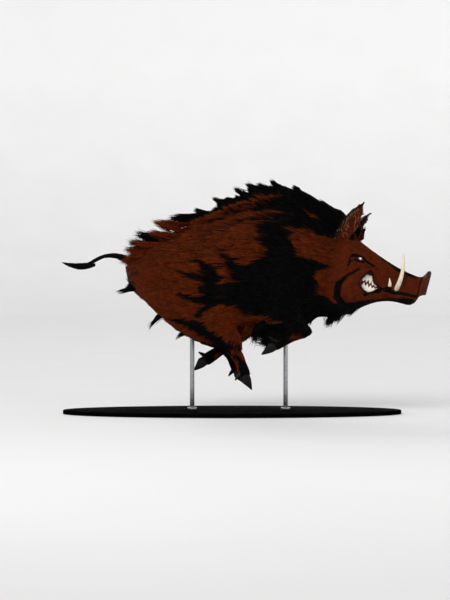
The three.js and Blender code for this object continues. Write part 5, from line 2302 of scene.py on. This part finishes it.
@dataclass
class Studio:
    """The floor, the soft lights and the camera.

    Attributes:
        target: Where the camera points.
        distance: How far away it stands.
        view_height: How much the picture's height takes in there.
        rise: The camera's angle over the level.
        floor_radius: The level floor's radius.
        floor_step: The length of one of the strips in which it sweeps up.
        floor_steps: How many of them there are.
        floor_gap: How far the floor lies under the stand.
    """

    target: Triple = (-0.035, 0.0, 0.558)
    distance: float = 9.0
    view_height: float = 2.94
    rise: float = math.radians(1.2)
    floor_radius: float = 14.0
    floor_step: float = 1.3
    floor_steps: int = 10
    floor_gap: float = 0.0005

    def build(self) -> None:
        """Sets up floor, lights and camera."""
        self.floor()
        self.lights()
        self.camera()

    def floor(self) -> None:
        """A wide round floor that sweeps up far away, so that no edge shows."""
        circle = {"vertices": 96, "radius": self.floor_radius, "location": (0, 0, -self.floor_gap)}
        bpy.ops.mesh.primitive_circle_add(fill_type="NGON", **circle)
        disc = bpy.context.object
        bpy.ops.mesh.primitive_circle_add(fill_type="NOTHING", **circle)
        ring = bpy.context.object
        edit_whole(ring, self.sweep)
        ob = joined([ring, disc], "studio_floor")
        inwards = partial(bpy.ops.mesh.normals_make_consistent, inside=True)
        edit_whole(ob, partial(bpy.ops.mesh.remove_doubles, threshold=1e-3), inwards)
        bpy.ops.object.transform_apply(location=True, rotation=True, scale=True)
        ob.data.shade_smooth()
        ob.data.materials.append(FloorFinish().material())

    def sweep(self) -> None:
        """Draws the selected ring out and up, a strip at a time, until it stands upright."""
        rim = self.floor_radius
        for step in range(self.floor_steps):
            angle = 0.5 * math.pi * (step + 0.5) / self.floor_steps
            rise = (0, 0, self.floor_step * math.sin(angle))
            bpy.ops.mesh.extrude_region_move(TRANSFORM_OT_translate={"value": rise})
            grown = 1 + self.floor_step * math.cos(angle) / rim
            rim *= grown
            bpy.ops.transform.resize(value=(grown, grown, 1.0))

    def lights(self) -> None:
        """Soft light from all round, a soft key from over the camera's left and a rim light from behind."""
        world = bpy.data.worlds.new("studio_air")
        world.use_nodes = True
        background = next(node for node in world.node_tree.nodes if node.type == "BACKGROUND")
        background.inputs["Color"].default_value = linear(0xF4F4F6)
        background.inputs["Strength"].default_value = 0.68
        bpy.context.scene.world = world
        self.sun("key_light", (48, -28), 1.0, 30)
        self.sun("rim_light", (-58, 24), 0.5, 25)
        self.softbox("softbox", (-1.6, -3.4, 2.9), 2.2, 30)
        self.softbox("softbox_low", (2.6, -3.0, 0.9), 1.4, 8)
        bpy.context.scene.view_settings.view_transform = "Standard"

    def sun(self, name: str, turn: Pair, strength: float, breadth: float) -> None:
        """One broad even light.

        Args:
            name: Its name.
            turn: How far it tilts from straight down, and how far round, in degrees.
            strength: Its strength.
            breadth: Its breadth in degrees.
        """
        data = bpy.data.lights.new(name, "SUN")
        data.energy, data.angle = strength, math.radians(breadth)
        tilt, round_about = turn
        new_object(name, data).rotation_euler = (math.radians(tilt), 0.0, math.radians(round_about))

    def softbox(self, name: str, place: Triple, size: float, watts: float) -> None:
        """One square softbox that points at the animal.

        Args:
            name: Its name.
            place: Where it stands.
            size: Its side.
            watts: Its power.
        """
        data = bpy.data.lights.new(name, "AREA")
        data.energy, data.size = watts, size
        self.aim(new_object(name, data), Vector(place))

    def aim(self, ob: Object, place: Vector) -> None:
        """Sets a light or camera in its place and points it at the animal."""
        ob.location = place
        ob.rotation_euler = (Vector(self.target) - place).to_track_quat("-Z", "Y").to_euler()

    def camera(self) -> None:
        """The camera, square to the animal's right side and a little over it."""
        data = bpy.data.cameras.new("camera")
        data.sensor_width = 36.0
        data.lens = data.sensor_width * self.distance / self.view_height
        ob = new_object("camera", data)
        back = Vector((0.0, -math.cos(self.rise), math.sin(self.rise)))
        self.aim(ob, Vector(self.target) + self.distance * back)
        bpy.context.scene.camera = ob


def main() -> None:
    """Builds every piece in order."""
    logging.basicConfig(level=logging.INFO, format="%(message)s")
    Studio().build()
    head = HeadFrame()
    markings_and_shade = MarkingsAndShade(head)
    colours = CoatColours()
    skin = Skin(head, markings_and_shade)
    skin.build(HideFinish(colours, head).material())
    Coat(skin, markings_and_shade).build(BristleFinish(colours).material())
    Eyes(head).build(EyeFinish().material())
    Tusks().build(IvoryFinish("boar_ivory_grown_dentine").material())
    enamel = IvoryFinish("tooth_enamel_grown", cream=0xF7F3EA, root_tint=0xD6C6A0, line=0xEDE6D6)
    Teeth(head).build(enamel.material())
    Hooves().build(HornFinish().material())
    Stand().build(LacquerFinish().material(), SteelFinish().material())
    bpy.ops.object.select_all(action="DESELECT")


if __name__ == "__main__":
    main()
